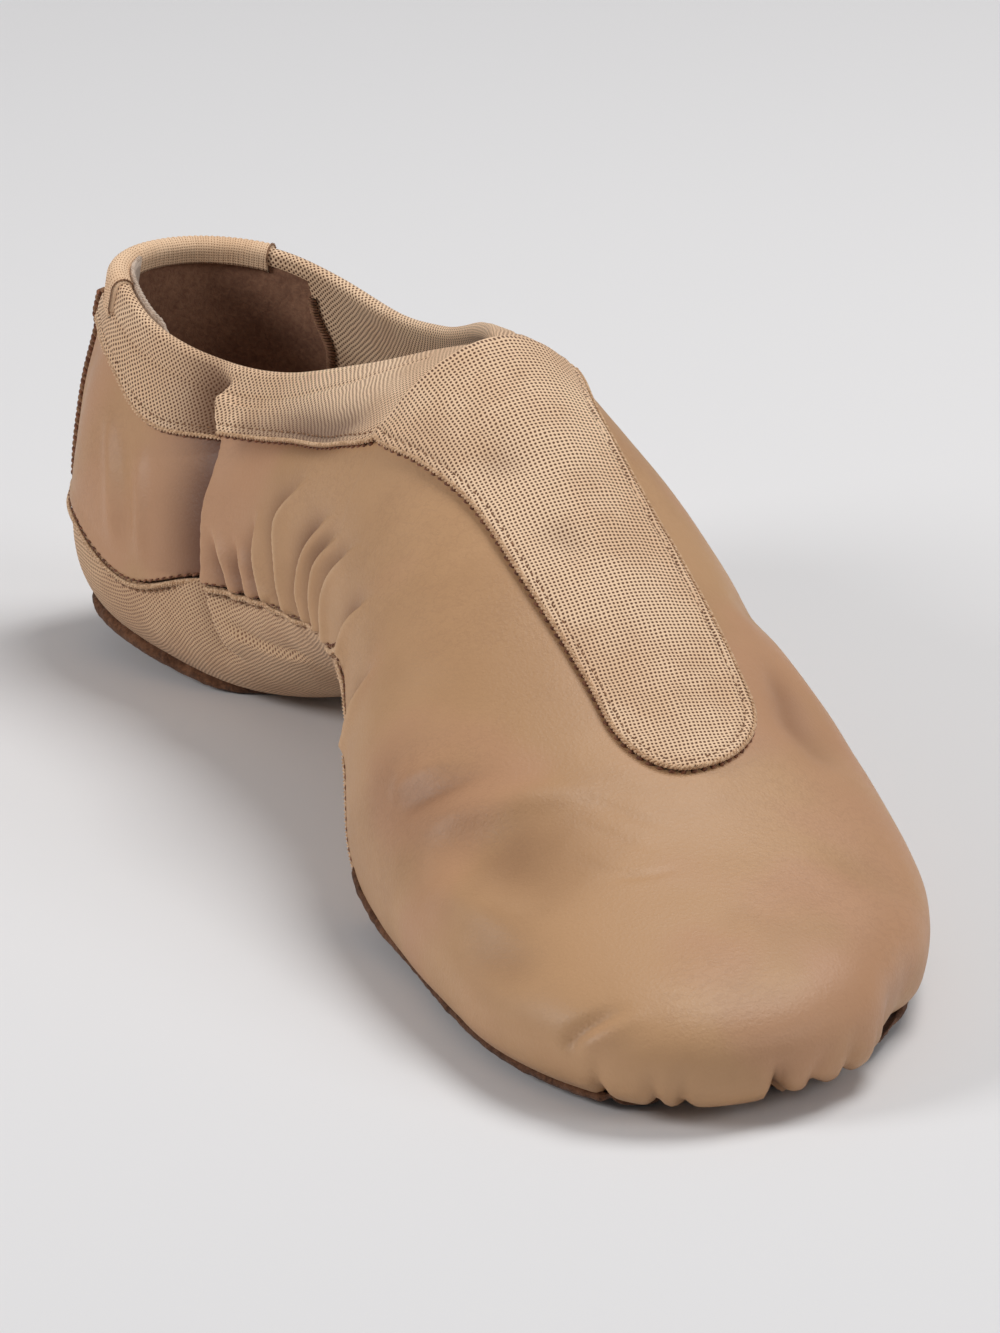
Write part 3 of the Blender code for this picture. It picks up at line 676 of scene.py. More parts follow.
def stitchRow(name, path, ownStitch, look):
    # rounded dashes laid along a path; inset is how far they lie to the path's upper side
    stitch = {**plainStitch, **ownStitch}
    points, normals, tangents, across = resample(*path, stitch["pitch"])
    sides, rings = stitch["sides"], stitch["rings"]
    turn = np.linspace(0, 2 * math.pi, sides, endpoint=False)
    lengthwise = np.linspace(-1, 1, rings)
    swell = np.sqrt(np.maximum(1 - np.abs(lengthwise) ** 2.6, 0.03))
    slant = math.radians(stitch["slant"])
    allPoints, allQuads = [], []
    for i in range(len(points)):
        base = i * rings * sides
        wander = stitch["wander"] * math.sin(i * 2.4) * stitch["radius"]
        middle = points[i] + across[i] * (stitch["inset"] + wander) + normals[i] * stitch["height"]
        along = tangents[i] * math.cos(slant) + across[i] * math.sin(slant)
        beside = across[i] * math.cos(slant) - tangents[i] * math.sin(slant)
        size = 1 + stitch["sizes"] * math.sin(i * 5.1)
        body = middle + along * (lengthwise * stitch["length"] / 2 * size)[:, None]
        ring = np.cos(turn)[:, None] * normals[i] + np.sin(turn)[:, None] * beside
        sink = normals[i] * (np.abs(lengthwise) ** 2 * stitch["radius"] * 0.8)[:, None]
        grown = (body - sink)[:, None, :] + ring[None, :, :] * (swell * stitch["radius"])[:, None, None]
        allPoints.append(grown.reshape(-1, 3))
        allQuads.append(tubeQuads(rings, sides, base))
        for end in (0, rings - 1):
            cap = np.array([[0, 1, 2, 3], [0, 3, 4, 5]]) + base + end * sides
            allQuads.append(cap[:, ::-1] if end == 0 else cap)
    makePiece(name, np.vstack(allPoints), np.vstack(allQuads), [look])


# materials
def feed(tree, source, socket):
    # a number, colour or vector is set on the socket, and an output is linked to it
    if isinstance(source, tuple):
        socket.default_value = (*source, 1) if socket.type == "RGBA" else source
    elif isinstance(source, (int, float)):
        socket.default_value = source
    else:
        tree.links.new(source, socket)


def addNode(tree, kind, inputs=None, **settings):
    node = tree.nodes.new(kind)
    for key, value in settings.items():
        setattr(node, key, value)
    for key, source in (inputs or {}).items():
        feed(tree, source, node.inputs[key])
    return node


def newGroup(name, vectors, numbers, results):
    # a group with the outputs that bring its values in and the inputs that take its results
    group = bpy.data.node_groups.new(name, "ShaderNodeTree")
    sockets = (("Vector", "INPUT", vectors), ("Float", "INPUT", numbers), ("Float", "OUTPUT", results))
    for kind, way, names in sockets:
        for socketName in names:
            group.interface.new_socket(name=socketName, in_out=way, socket_type="NodeSocket" + kind)
    return group, group.nodes.new("NodeGroupInput").outputs, group.nodes.new("NodeGroupOutput").inputs


def mathNode(tree, operation, *values):
    return addNode(tree, "ShaderNodeMath", dict(enumerate(values)), operation=operation).outputs[0]


def mapRange(tree, value, *limits):
    inputs = dict(enumerate((value, *limits)))
    return addNode(tree, "ShaderNodeMapRange", inputs, interpolation_type="SMOOTHSTEP").outputs[0]


def mixColours(tree, factor, first, second):
    return addNode(tree, "ShaderNodeMix", {0: factor, 6: first, 7: second}, data_type="RGBA").outputs[2]


def mixValues(tree, factor, first, second):
    return addNode(tree, "ShaderNodeMix", {0: factor, 2: first, 3: second}, data_type="FLOAT").outputs[0]


def noiseValue(tree, vector, scale, detail=2.0, rough=0.5, distortion=0.0):
    return addNode(tree, "ShaderNodeTexNoise", {
        "Vector": vector, "Scale": scale, "Detail": detail, "Roughness": rough, "Distortion": distortion,
    }).outputs[0]


def grainGroup():
    # fine leather grain with faint wrinkles: cells about half a millimetre wide
    group, given, result = newGroup("leatherGrain", ["Place"], ["Cells", "Wrinkles"], ["Height", "Hollow"])
    place = given["Place"]
    cells = addNode(group, "ShaderNodeTexVoronoi", {
        "Vector": place, "Scale": given["Cells"], "Smoothness": 0.6, "Randomness": 1.0,
    }, feature="SMOOTH_F1")
    fine = noiseValue(group, place, 2600.0)
    drawn = addNode(group, "ShaderNodeMapping", {"Vector": place, "Scale": (0.7, 1.4, 1.4)}).outputs[0]
    lines = noiseValue(group, drawn, 420.0, 3.0, 0.55, 0.3)
    ridge = mapRange(group, mathNode(group, "ABSOLUTE", mathNode(group, "SUBTRACT", lines, 0.5)), 0.0, 0.06)
    patch = mapRange(group, noiseValue(group, place, 38.0), 0.45, 0.62)
    crack = mathNode(group, "MULTIPLY", mathNode(group, "SUBTRACT", 1.0, ridge), patch)
    crack = mathNode(group, "MULTIPLY", crack, given["Wrinkles"])
    height = mathNode(group, "MULTIPLY_ADD", cells.outputs["Distance"], -0.7, fine)
    feed(group, mathNode(group, "MULTIPLY_ADD", crack, -0.6, height), result["Height"])
    feed(group, crack, result["Hollow"])
    return group


def weaveGroup():
    # square open mesh: Thread is 1 on a thread and 0 in a hole
    group, given, result = newGroup("openWeave", ["Cloth"], ["Threads", "Hole"], ["Thread", "Height"])
    parts = addNode(group, "ShaderNodeSeparateXYZ", {0: given["Cloth"]}).outputs
    wander = noiseValue(group, given["Cloth"], 260.0, 1.0)
    wander = mathNode(group, "MULTIPLY", mathNode(group, "SUBTRACT", wander, 0.5), 0.9)
    apart = []
    for i in (0, 1):
        turns = mathNode(group, "MULTIPLY_ADD", parts[i], given["Threads"], wander)
        fromMiddle = mathNode(group, "SUBTRACT", mathNode(group, "FRACT", turns), 0.5)
        apart.append(mathNode(group, "MULTIPLY", mathNode(group, "ABSOLUTE", fromMiddle), 2.0))
    rounded = 2.6  # 2 makes the holes round, and more makes them square
    powers = [mathNode(group, "POWER", value, rounded) for value in apart]
    reach = mathNode(group, "POWER", mathNode(group, "ADD", *powers), 1 / rounded)
    thread = mapRange(group, mathNode(group, "SUBTRACT", reach, given["Hole"]), -0.14, 0.16)
    bulge = mathNode(group, "MULTIPLY", mathNode(group, "ADD", *apart), 0.35)
    feed(group, thread, result["Thread"])
    feed(group, mathNode(group, "ADD", thread, bulge), result["Height"])
    return group


def toneGroup():
    # slow changes of tone, from handling and light wear: 0 to 1
    group, given, result = newGroup("handledTone", ["Place"], ["Size"], ["Warm", "Dark"])
    inputs = {0: given["Place"], 1: (0.31, 0.17, 0.53)}
    moved = addNode(group, "ShaderNodeVectorMath", inputs, operation="ADD").outputs[0]
    wide = noiseValue(group, given["Place"], given["Size"])
    other = noiseValue(group, moved, given["Size"], 4.0, 0.6)
    feed(group, mapRange(group, wide, 0.35, 0.65), result["Warm"])
    feed(group, mapRange(group, other, 0.35, 0.68), result["Dark"])
    return group


groups = {"grain": grainGroup(), "weave": weaveGroup(), "tone": toneGroup()}


def placeGroup(tree, name, inputs):
    return addNode(tree, "ShaderNodeGroup", inputs, node_tree=groups[name]).outputs


def linear(red, green, blue):
    def one(c):
        c = c / 255
        return c / 12.92 if c <= 0.04045 else ((c + 0.055) / 1.055) ** 2.4
    return (one(red), one(green), one(blue))


def newMaterial(name, settings):
    material = bpy.data.materials.new(name)
    material.use_nodes = True
    tree = material.node_tree
    shader = tree.nodes["Principled BSDF"].inputs
    for key, value in settings.items():
        shader[key].default_value = value
    return material, tree, shader, addNode(tree, "ShaderNodeTexCoord").outputs["Object"]


def bumpInto(tree, shader, height, look):
    inputs = {"Height": height, "Strength": look["bump"], "Distance": look["bumpDistance"]}
    feed(tree, addNode(tree, "ShaderNodeBump", inputs).outputs[0], shader["Normal"])


# the deep colour is painted shade and the crest colour a painted highlight, both mixed in by the crease
# attribute
tanLeather = {
    "light": linear(188, 147, 108), "dark": linear(165, 125, 88), "pink": linear(187, 140, 109),
    "crack": linear(146, 108, 80), "deep": linear(92, 52, 30), "crestHighlight": linear(226, 190, 152),
    "darkShare": 0.40, "pinkShare": 0.6, "crackShare": 0.5, "deepShare": 0.95, "crestHighlightShare": 0.6,
    "toneSize": 26.0, "cells": 1500.0, "wrinkles": 0.26, "roughIn": 0.52, "roughOut": 0.40,
    "shader": {"Specular IOR Level": 0.38, "Coat Weight": 0.07, "Coat Roughness": 0.38},
    "bump": 0.42, "bumpDistance": 0.14 * mm,
}


def leatherMaterial():
    look = tanLeather
    material, tree, shader, place = newMaterial("tanLeather", look["shader"])
    tone = placeGroup(tree, "tone", {"Place": place, "Size": look["toneSize"]})
    grain = placeGroup(tree, "grain", {"Place": place, "Cells": look["cells"], "Wrinkles": look["wrinkles"]})
    # the crease attribute paints shade towards the deep colour and a highlight towards the crest colour
    crease = addNode(tree, "ShaderNodeAttribute", attribute_name="crease").outputs["Fac"]
    colour = look["light"]
    for name, factor in (
        ("dark", mapRange(tree, tone["Dark"], 0.0, 1.0, 0.0, look["darkShare"])),
        ("pink", mapRange(tree, tone["Warm"], 0.3, 1.0, 0.0, look["pinkShare"])),
        ("crack", mathNode(tree, "MULTIPLY", grain["Hollow"], look["crackShare"])),
        ("deep", mapRange(tree, crease, 0.0, 1.0, 0.0, look["deepShare"])),
        ("crestHighlight", mapRange(tree, crease, -1.0, 0.0, look["crestHighlightShare"], 0.0)),
    ):
        colour = mixColours(tree, factor, colour, look[name])
    feed(tree, colour, shader["Base Color"])
    rough = mapRange(tree, grain["Height"], 0.0, 1.0, look["roughIn"], look["roughOut"])
    feed(tree, rough, shader["Roughness"])
    bumpInto(tree, shader, grain["Height"], look)
    return material


# deep is a painted shade colour, mixed in by the crease attribute
stretchMesh = {
    "thread": linear(240, 207, 173), "hole": linear(102, 66, 43), "wearAndHighlight": linear(216, 176, 139),
    "deep": linear(88, 52, 32), "wornShare": 0.6, "deepShare": 0.8, "toneSize": 45.0,
    "threads": 1400.0, "holeSize": 0.56,
    # behind the throat the weave is turned, in degrees
    "turnedThreads": 1500.0, "turn": 45.0, "turnedFrom": -16 * mm, "turnedTo": -4 * mm,
    "shader": {"Roughness": 0.80, "Specular IOR Level": 0.25, "Sheen Weight": 0.10, "Sheen Roughness": 0.5},
    "bump": 0.55, "bumpDistance": 0.22 * mm,
}
ribbedBinding = dict(stretchMesh, threads=2100.0, turnedThreads=2100.0, turn=0.0, holeSize=0.42, bump=0.4,
                     hole=linear(160, 120, 88))
archMesh = dict(stretchMesh, turn=24.0, hole=linear(140, 102, 76), thread=linear(214, 178, 142),
                wearAndHighlight=linear(188, 148, 114))


def clothMaterial(name, look):
    material, tree, shader, place = newMaterial(name, look["shader"])
    cloth = addNode(tree, "ShaderNodeUVMap", uv_map="cloth").outputs[0]
    angle = (0, 0, math.radians(look["turn"]))
    turned = addNode(tree, "ShaderNodeMapping", {"Vector": cloth, "Rotation": angle}).outputs[0]
    hole = look["holeSize"]
    straight = placeGroup(tree, "weave", {"Cloth": cloth, "Threads": look["threads"], "Hole": hole})
    slanted = placeGroup(tree, "weave", {"Cloth": turned, "Threads": look["turnedThreads"], "Hole": hole})
    along = addNode(tree, "ShaderNodeSeparateXYZ", {0: cloth}).outputs[0]
    behind = mapRange(tree, along, look["turnedFrom"], look["turnedTo"], 1.0, 0.0)
    threadShare = mixValues(tree, behind, straight["Thread"], slanted["Thread"])
    height = mixValues(tree, behind, straight["Height"], slanted["Height"])
    tone = placeGroup(tree, "tone", {"Place": place, "Size": look["toneSize"]})
    wearAndHighlight = mapRange(tree, tone["Dark"], 0.0, 1.0, 0.0, look["wornShare"])
    colour = mixColours(tree, threadShare, look["hole"], mixColours(tree, wearAndHighlight, look["thread"], look["wearAndHighlight"]))
    # painted shade from the crease attribute
    crease = addNode(tree, "ShaderNodeAttribute", attribute_name="crease").outputs["Fac"]
    colour = mixColours(tree, mapRange(tree, crease, 0.0, 1.0, 0.0, look["deepShare"]), colour, look["deep"])
    feed(tree, colour, shader["Base Color"])
    bumpInto(tree, shader, height, look)
    return material


# napped looks: two colours, fibres and patches to a metre, finish, and the nap's strength and height
napColumns = ("light", "dark", "fibres", "patches", "rough", "shine", "sheen", "bump", "bumpDistance")
napRows = {
    "suedeSole": (linear(124, 86, 62), linear(66, 41, 28), 1400.0, 160.0, 0.96, 0.12, 0.08, 0.8, 0.35 * mm),
    "brownNap": (linear(168, 127, 101), linear(124, 87, 68), 1100.0, 60.0, 0.97, 0.12, 0.1, 0.6, 0.3 * mm),
    "greyFacing": (linear(214, 196, 180), linear(168, 146, 128), 1300, 90.0, 0.95, 0.15, 0.2, 0.5, 0.2 * mm),
    "sockLining": (linear(128, 100, 80), linear(88, 64, 48), 900.0, 50.0, 0.95, 0.15, 0.2, 0.5, 0.25 * mm),
}


def napMaterial(name):
    look = dict(zip(napColumns, napRows[name]))
    material, tree, shader, place = newMaterial(name, {
        "Roughness": look["rough"], "Specular IOR Level": look["shine"], "Sheen Weight": look["sheen"],
        "Sheen Roughness": 0.6,
    })
    fibres = noiseValue(tree, place, look["fibres"], 3.0, 0.65, 0.4)
    patches = noiseValue(tree, place, look["patches"], 3.0, 0.6)
    mixed = mathNode(tree, "MULTIPLY_ADD", fibres, 0.55, mathNode(tree, "MULTIPLY", patches, 0.55))
    share = mapRange(tree, mixed, 0.35, 0.78)
    feed(tree, mixColours(tree, share, look["dark"], look["light"]), shader["Base Color"])
    bumpInto(tree, shader, fibres, look)
    return material


threadLooks = {
    "darkThread": {"light": linear(138, 88, 60), "dark": linear(86, 50, 33)},
    "brownThread": {"light": linear(158, 118, 86), "dark": linear(112, 78, 54)},
    "paleThread": {"light": linear(226, 192, 156), "dark": linear(178, 138, 102)},
}
threadFinish = {
    "shader": {"Roughness": 0.68, "Specular IOR Level": 0.3, "Sheen Weight": 0.15},
    "fibres": 1900.0, "bump": 0.4, "bumpDistance": 0.1 * mm,
}


def threadMaterial(name):
    look = threadLooks[name]
    material, tree, shader, place = newMaterial(name, threadFinish["shader"])
    fibres = noiseValue(tree, place, threadFinish["fibres"], 2.0, 0.6)
    share = mapRange(tree, fibres, 0.3, 0.7)
    feed(tree, mixColours(tree, share, look["dark"], look["light"]), shader["Base Color"])
    bumpInto(tree, shader, fibres, threadFinish)
    return material


materials = {
    "leather": leatherMaterial(), "mesh": clothMaterial("stretchMesh", stretchMesh),
    "binding": clothMaterial("ribbedBinding", ribbedBinding), "archMesh": clothMaterial("archMesh", archMesh),
}
for napName in napRows:
    materials[napName] = napMaterial(napName)
for threadName in threadLooks:
    materials[threadName] = threadMaterial(threadName)
print("shoe: materials made")


# leather vamp and quarters
leatherPiece = {
    "shares": (0.0, 0.215, 0.575, 1.0), "columns": (0, 84, 282, 424), "rows": 88, "rowsUnderMesh": 6,
    "edgeRows": (0.0, 0.15, 0.4, 0.8, 1.4), "sinkUnderMesh": 0.25 * mm,
    # the cut edge rolls out over the arch seam, as far as these shares of the length
    "curlAt": (0, 0.15, 0.5, 1.2, 3.0), "curl": (-0.75, -0.05, 0.30, 0.22, 0.0),
    "curlFrom": 0.60, "curlTo": 0.66,
}


def makeLeather():
    spec = leatherPiece
    # the columns are closest where the leather is gathered
    knots = stationAt(np.array(spec["shares"]))
    stations = np.interp(np.arange(spec["columns"][-1] + 1), spec["columns"], knots)
    a, side = ringOf(stations, True)
    top = meshLine(a, side)
    edgeRows = np.array(spec["edgeRows"]) * mm
    table = sectionArcs(a, side)
    arcLow = arcOf(table, lowLine(a)[:, None])
    arcTop = arcOf(table, top[:, None])
    body = np.linspace(0, 1, spec["rows"] - len(edgeRows) + 1)[None, :]
    first = arcLow + edgeRows[-1]
    arcs = np.concatenate([arcLow + edgeRows[:-1][None, :], first + (arcTop - first) * body], axis=1)
    v = lineOf(table, arcs)
    v[:, -1] = top
    under = top[:, None] + (2 - top[:, None]) * np.linspace(0, 1, spec["rowsUnderMesh"] + 1)[None, 1:]
    sheet = shoeSheet(a, side, np.concatenate([v, under], axis=1), True)
    curl = np.interp(sheetDistance(sheet, True) / mm, spec["curlAt"], spec["curl"]) * mm
    nearSeam = 1 - smoothStep(sheet["a"], stationAt(spec["curlFrom"]), stationAt(spec["curlTo"]))
    hidden = smoothStep(sheet["v"] - meshLine(sheet["a"], sheet["side"]), 0.02, 0.08)
    points = raised(sheet, sheet["relief"] + curl * nearSeam - hidden * spec["sinkUnderMesh"])
    makePiece("leatherUpper", points, sheet["quads"], ["leather"], shade=sheet["shade"],
              replaced=["upper"])


def sheetDistance(sheet, low=False):
    # true distance from each point of a sheet to the leather's lower edge, or else to the mesh's edge
    a, side = ringOf(np.linspace(0, 1 if low else float(stationAt(tongue["tipAt"])), 3001), False)
    return nearest(shoePoint(a, lowLine(a) if low else meshLine(a, side), side), sheet["points"])[1]


# mesh collar and tongue, laid over the leather with a turned edge
collarMesh = {
    "columns": (210, 130, 26), "rows": 34, "rollRows": 10, "insideRows": 16,
    "edgeRows": (0.0, 0.12, 0.28, 0.5, 0.8, 1.15, 1.5, 1.85, 2.3, 2.8, 3.3, 3.9), "fullWidth": 9 * mm,
    "insideAt": (0.0, 0.075, 0.10, 0.43), "inside": (1.0, 1.0, 24.0, 24.0),
    "grooveDown": 3.7 * mm, "grooveWidth": 0.45 * mm, "groove": 0.32 * mm, "grooveTo": 0.40,
    "liftAt": (0.0, 0.10, 0.30, 0.60, 1.15, 1.50, 1.90, 2.9, 3.6, 4.5, 60.0),
    "lift": (0.10, 0.62, 0.98, 1.08, 1.02, 0.74, 0.98, 0.96, 0.80, 0.78, 0.86),
    "rollHeight": 1.5 * mm, "rollIn": 1.95 * mm, "rollLength": 4.5 * mm, "rollPower": 0.85, "rollDark": 0.6,
}


def tongueStations(perCollar, perTongue, perTip):
    throat = float(stationAt(last["throat"]))
    tip = float(stationAt(tongue["tipAt"]))
    roundFrom = float(stationAt(tongue["tipAt"] - tongue["roundEnd"] / last["length"]))
    turned = roundFrom + (tip - roundFrom) * np.sin(np.linspace(0, math.pi / 2, perTip))
    return np.concatenate([
        np.linspace(0, throat, perCollar + 1)[:-1], np.linspace(throat, roundFrom, perTongue + 1)[:-1], turned
    ])


def clothUv(a, side, arcs, topArc):
    # along: length of the rim or ridge from the throat; down: distance from the rim or ridge
    throat = stationAt(last["throat"])
    fine = np.linspace(0, 1, 1501)
    along = np.zeros(len(a))
    for sign in (1, -1):
        length = lengthAlong(shoePoint(fine, np.full(len(fine), 2.0), np.full(len(fine), sign)))
        length = length - np.interp(throat, fine, length)
        along = np.where(side == sign, np.interp(a, fine, length), along)
    down = (topArc - arcs) * side[:, None]
    return np.stack([np.repeat(along[:, None], arcs.shape[1], axis=1), down], axis=-1)


def makeCollarMesh():
    spec = collarMesh
    a, side = ringOf(tongueStations(*spec["columns"]), False)
    table = sectionArcs(a, side)
    edge = meshLine(a, side)
    arcEdge = arcOf(table, edge[:, None])
    arcTop = table[1][:, -1:]
    total = arcTop - arcEdge
    fixed = np.array(spec["edgeRows"])[None, :] * mm * np.minimum(1, total / spec["fullWidth"])
    rest = fixed[:, -1:] + (total - fixed[:, -1:]) * np.linspace(0, 1, spec["rows"] + 1)[None, 1:]
    arcs = arcEdge + np.concatenate([fixed, rest], axis=1)
    v = lineOf(table, arcs)
    v[:, 0] = edge
    v[:, -1] = 2
    # ahead of grooveTo the distance from the rim is put out of the groove's reach
    fromRim = arcTop - arcs + np.where(a > stationAt(spec["grooveTo"]), 1.0, 0.0)[:, None]
    sheet = shoeSheet(a, side, v, False, clothUv(a, side, arcs, arcTop), fromRim)
    distance = sheetDistance(sheet)
    lift = np.interp(distance / mm, spec["liftAt"], spec["lift"]) * mm
    groove = np.exp(-((sheet["more"] - spec["grooveDown"]) / spec["grooveWidth"]) ** 2)
    lift = lift - groove * spec["groove"] * smoothStep(distance, 2.5 * mm, 5 * mm)
    outside = raised(sheet, sheet["relief"] + lift)
    # the roll over the rim and the turned-in inside
    isOpen = a < stationAt(last["throat"]) + 1e-9
    a, side, arcTop = a[isOpen], side[isOpen], arcTop[isOpen]
    rim, up = rimFrame(a, side)
    at = nearest(sheet["points"], rim)[0]
    normal = sheet["normals"][at]
    outAt = np.sum((outside[at] - rim) * normal, axis=1)[:, None]
    inAt = -spec["rollIn"]
    turn = np.linspace(0, math.pi, spec["rollRows"] + 1)[None, :]
    rounded = np.sign(np.cos(turn)) * np.abs(np.cos(turn)) ** spec["rollPower"]
    spread = smoothStep(bySide(rimTable, shareOf(a), side), 0.0, 0.22)[:, None]
    upwards = spec["rollHeight"] * np.sin(turn) ** spec["rollPower"] * (0.25 + 0.75 * spread)
    roll = overRim(rim, normal, up, (outAt + inAt) / 2 + (outAt - inAt) / 2 * rounded, upwards)
    depth = np.interp(shareOf(a), spec["insideAt"], spec["inside"])[:, None] * mm
    depth = depth * np.linspace(0, 1, spec["insideRows"] + 1)[None, 1:]
    vIn = lineOf((table[0], table[1][isOpen]), arcTop - depth)
    basis, facing = skinAt(a, vIn, side)
    aIn = overRows(a, side, spec["insideRows"])[0]
    bend = relief(basis.reshape(-1, 3), aIn.ravel(), vIn.ravel()).reshape(vIn.shape)
    grid = np.concatenate([roll, basis + facing * (bend + inAt)[..., None]], axis=1)
    gridFaces = gridQuads(*grid.shape[:2], False)
    rollArc = np.linspace(0, spec["rollLength"], spec["rollRows"] + 1)[None, :].repeat(len(a), 0)
    turnArc = np.concatenate([-rollArc, -spec["rollLength"] - depth], axis=1)
    rollUv = clothUv(a, side, arcTop - turnArc, arcTop).reshape(-1, 2)[gridFaces]
    # the painted shade near the rim carries on over the roll
    rollShade = np.zeros(grid.shape[:2])
    rollShade[:, :spec["rollRows"]] = sheet["shade"][at][:, None] * spec["rollDark"]
    points, quads, extra = weldAll(
        np.vstack([outside, grid.reshape(-1, 3)]), np.vstack([sheet["quads"], gridFaces + len(outside)]),
        [np.concatenate([sheet["shade"], rollShade.ravel()])])
    makePiece("meshCollarAndTongue", points, quads, ["mesh"], np.concatenate([sheet["uv"], rollUv]),
              shade=extra[0], replaced=["gusset_and_collar"])


hemThreads = {
    "columns": (300, 240, 60), "cordHeight": 0.82 * mm,
    "outerRow": {"pitch": 1.75 * mm, "length": 1.3 * mm, "radius": 0.36 * mm, "inset": -0.22 * mm,
                 "height": 0.14 * mm, "slant": -18},
    "innerRow": {"pitch": 1.75 * mm, "length": 0.95 * mm, "radius": 0.17 * mm, "inset": 1.55 * mm,
                 "height": 0.80 * mm, "slant": 10},
    "cord": {"pitch": 1.5 * mm, "radius": 0.44 * mm, "thread": 0.24 * mm},
}


def makeHem():
    spec = hemThreads
    a, side = ringOf(tongueStations(*spec["columns"]), False)
    points, normals = surfacePath(a, meshLine(a, side), side)
    stitchRow("hemStitchesOuter", (points, normals), spec["outerRow"], "darkThread")
    stitchRow("hemStitchesInner", (points, normals), spec["innerRow"], "brownThread")
    cordPath = (points + normals * spec["cordHeight"], normals)
    twistedCord("hemEdgeCord", "mesh", cordPath, spec["cord"], "paleThread")


# stretch mesh under the heel cup and the arch
underMesh = {
    "panelTo": 0.655, "columns": 260, "rows": 40, "rowsPower": 1.6, "below": 0.35 * mm,
    "sink": 0.25 * mm, "thick": 0.9 * mm, "cordDown": 0.70 * mm, "cordOut": 0.36 * mm, "smoothing": 9,
    "overlock": {"pitch": 1.25 * mm, "radius": 0.52 * mm, "thread": 0.27 * mm, "flat": 0.6},
    "stitches": {"pitch": 1.8 * mm, "length": 1.1 * mm, "radius": 0.22 * mm, "inset": -1.55 * mm,
                 "height": 0.06 * mm},
    "upperStitches": {"pitch": 1.8 * mm, "length": 1.3 * mm, "radius": 0.20 * mm, "inset": 0.30 * mm,
                      "height": 0.34 * mm, "slant": -16},
}


def makeUnderMesh():
    spec = underMesh
    a, side = ringOf(np.linspace(0, float(stationAt(spec["panelTo"])), spec["columns"]), False)
    low = lowLine(a)
    table = sectionArcs(a, side)
    arcLow = arcOf(table, low[:, None]) - spec["below"]
    arcs = arcLow * (1 - (1 - np.linspace(0, 1, spec["rows"] + 1)[None, :]) ** spec["rowsPower"])
    sheet = shoeSheet(a, side, lineOf(table, arcs), False, clothUv(a, side, arcs, arcLow))
    outside = sheet["relief"] - spec["sink"]
    points, quads, uvs = closedShell(sheet, outside, outside - spec["thick"])
    # the arch mesh takes the painted shade of its creases
    makePiece("underfootMesh", points, quads, ["archMesh"], uvs,
              shade=np.resize(sheet["shade"], len(points)), replaced=["underfoot_panel"])
    points, normals = surfacePath(a, low, side, 0.0, spec["smoothing"])
    down = unit(np.cross(normals, unit(np.gradient(points, axis=0))))
    cordPath = (points + down * spec["cordDown"] + normals * spec["cordOut"], normals)
    twistedCord("archOverlock", "mesh", cordPath, spec["overlock"], "paleThread")
    stitchRow("archStitches", (points, normals), spec["stitches"], "brownThread")
    stitchRow("archStitchesUpper", (points, normals), spec["upperStitches"], "darkThread")


# suede sole patches; the forefoot's edge follows the leather's lower edge, and the heel's is rounded ahead
suedePatches = {
    "forefootSuede": {"node": "forefoot_patch", "from": 0.610, "to": 1.0, "columns": 220, "thick": 0.9,
                      "creased": 0.6, "edgeAt": (0.61, 0.72, 0.80, 0.955, 0.985),
                      "above": (0.03, 0.04, 0.15, 0.16, 0.0)},
    "heelSuede": {"node": "heel_patch", "from": 0.0, "to": 0.218, "columns": 200, "thick": 1.2,
                  "creased": 0, "roundFrom": 0.08, "roundPower": 2.2, "width": 4 / 7},
}
suedeEdge = {"rows": 27, "roundFrom": 0.93, "out": 0.3, "inside": -0.35 * mm}
suedeRoughness = ((1.6 * mm, 5.5, 0.16), (5 * mm, 9.5, 0.12))


def makeSuede(name):
    spec = suedePatches[name]
    start, end = float(stationAt(spec["from"])), float(stationAt(spec["to"]))
    count = spec["columns"]
    if "edgeAt" in spec:
        a = np.concatenate([np.linspace(start, end, count), np.linspace(end, start, count)[1:]])
        side = np.repeat([-1.0, 1.0], (count, count - 1))
        edgeLine = lowLine(a) + np.interp(shareOf(a), spec["edgeAt"], spec["above"])
    else:
        a, side = ringOf(np.linspace(start, end, count), False)
        ahead = np.clip((shareOf(a) - spec["roundFrom"]) / (spec["to"] - spec["roundFrom"]), 0, 1)
        edgeLine = lowLine(a) * spec["width"] * np.sqrt(np.maximum(1 - ahead ** spec["roundPower"], 0.001))
    wander = 0.006 * np.sin(a * 260 * side) + 0.004 * np.sin(a * 611 + side)
    v = (edgeLine + wander)[:, None] * np.linspace(0, 1, suedeEdge["rows"])[None, :] ** 0.8
    sheet = shoeSheet(a, side, v, False)
    share = np.clip(sheet["v"] / np.interp(sheet["a"], np.sort(a), edgeLine[np.argsort(a)]), 0, 1)
    roundOff = np.clip((share - suedeEdge["roundFrom"]) / (1 - suedeEdge["roundFrom"]), 0, 1)
    thick = spec["thick"] * np.sqrt(np.maximum(1 - roundOff ** 2, 0.06))
    rough = unevenness(sheet["points"], *suedeRoughness)
    outside = (suedeEdge["out"] + thick + rough) * mm + sheet["relief"] * spec["creased"]
    points, quads, uvs = closedShell(sheet, outside, np.full(len(outside), suedeEdge["inside"]))
    makePiece(name, points, quads, ["suedeSole"], replaced=[spec["node"]])


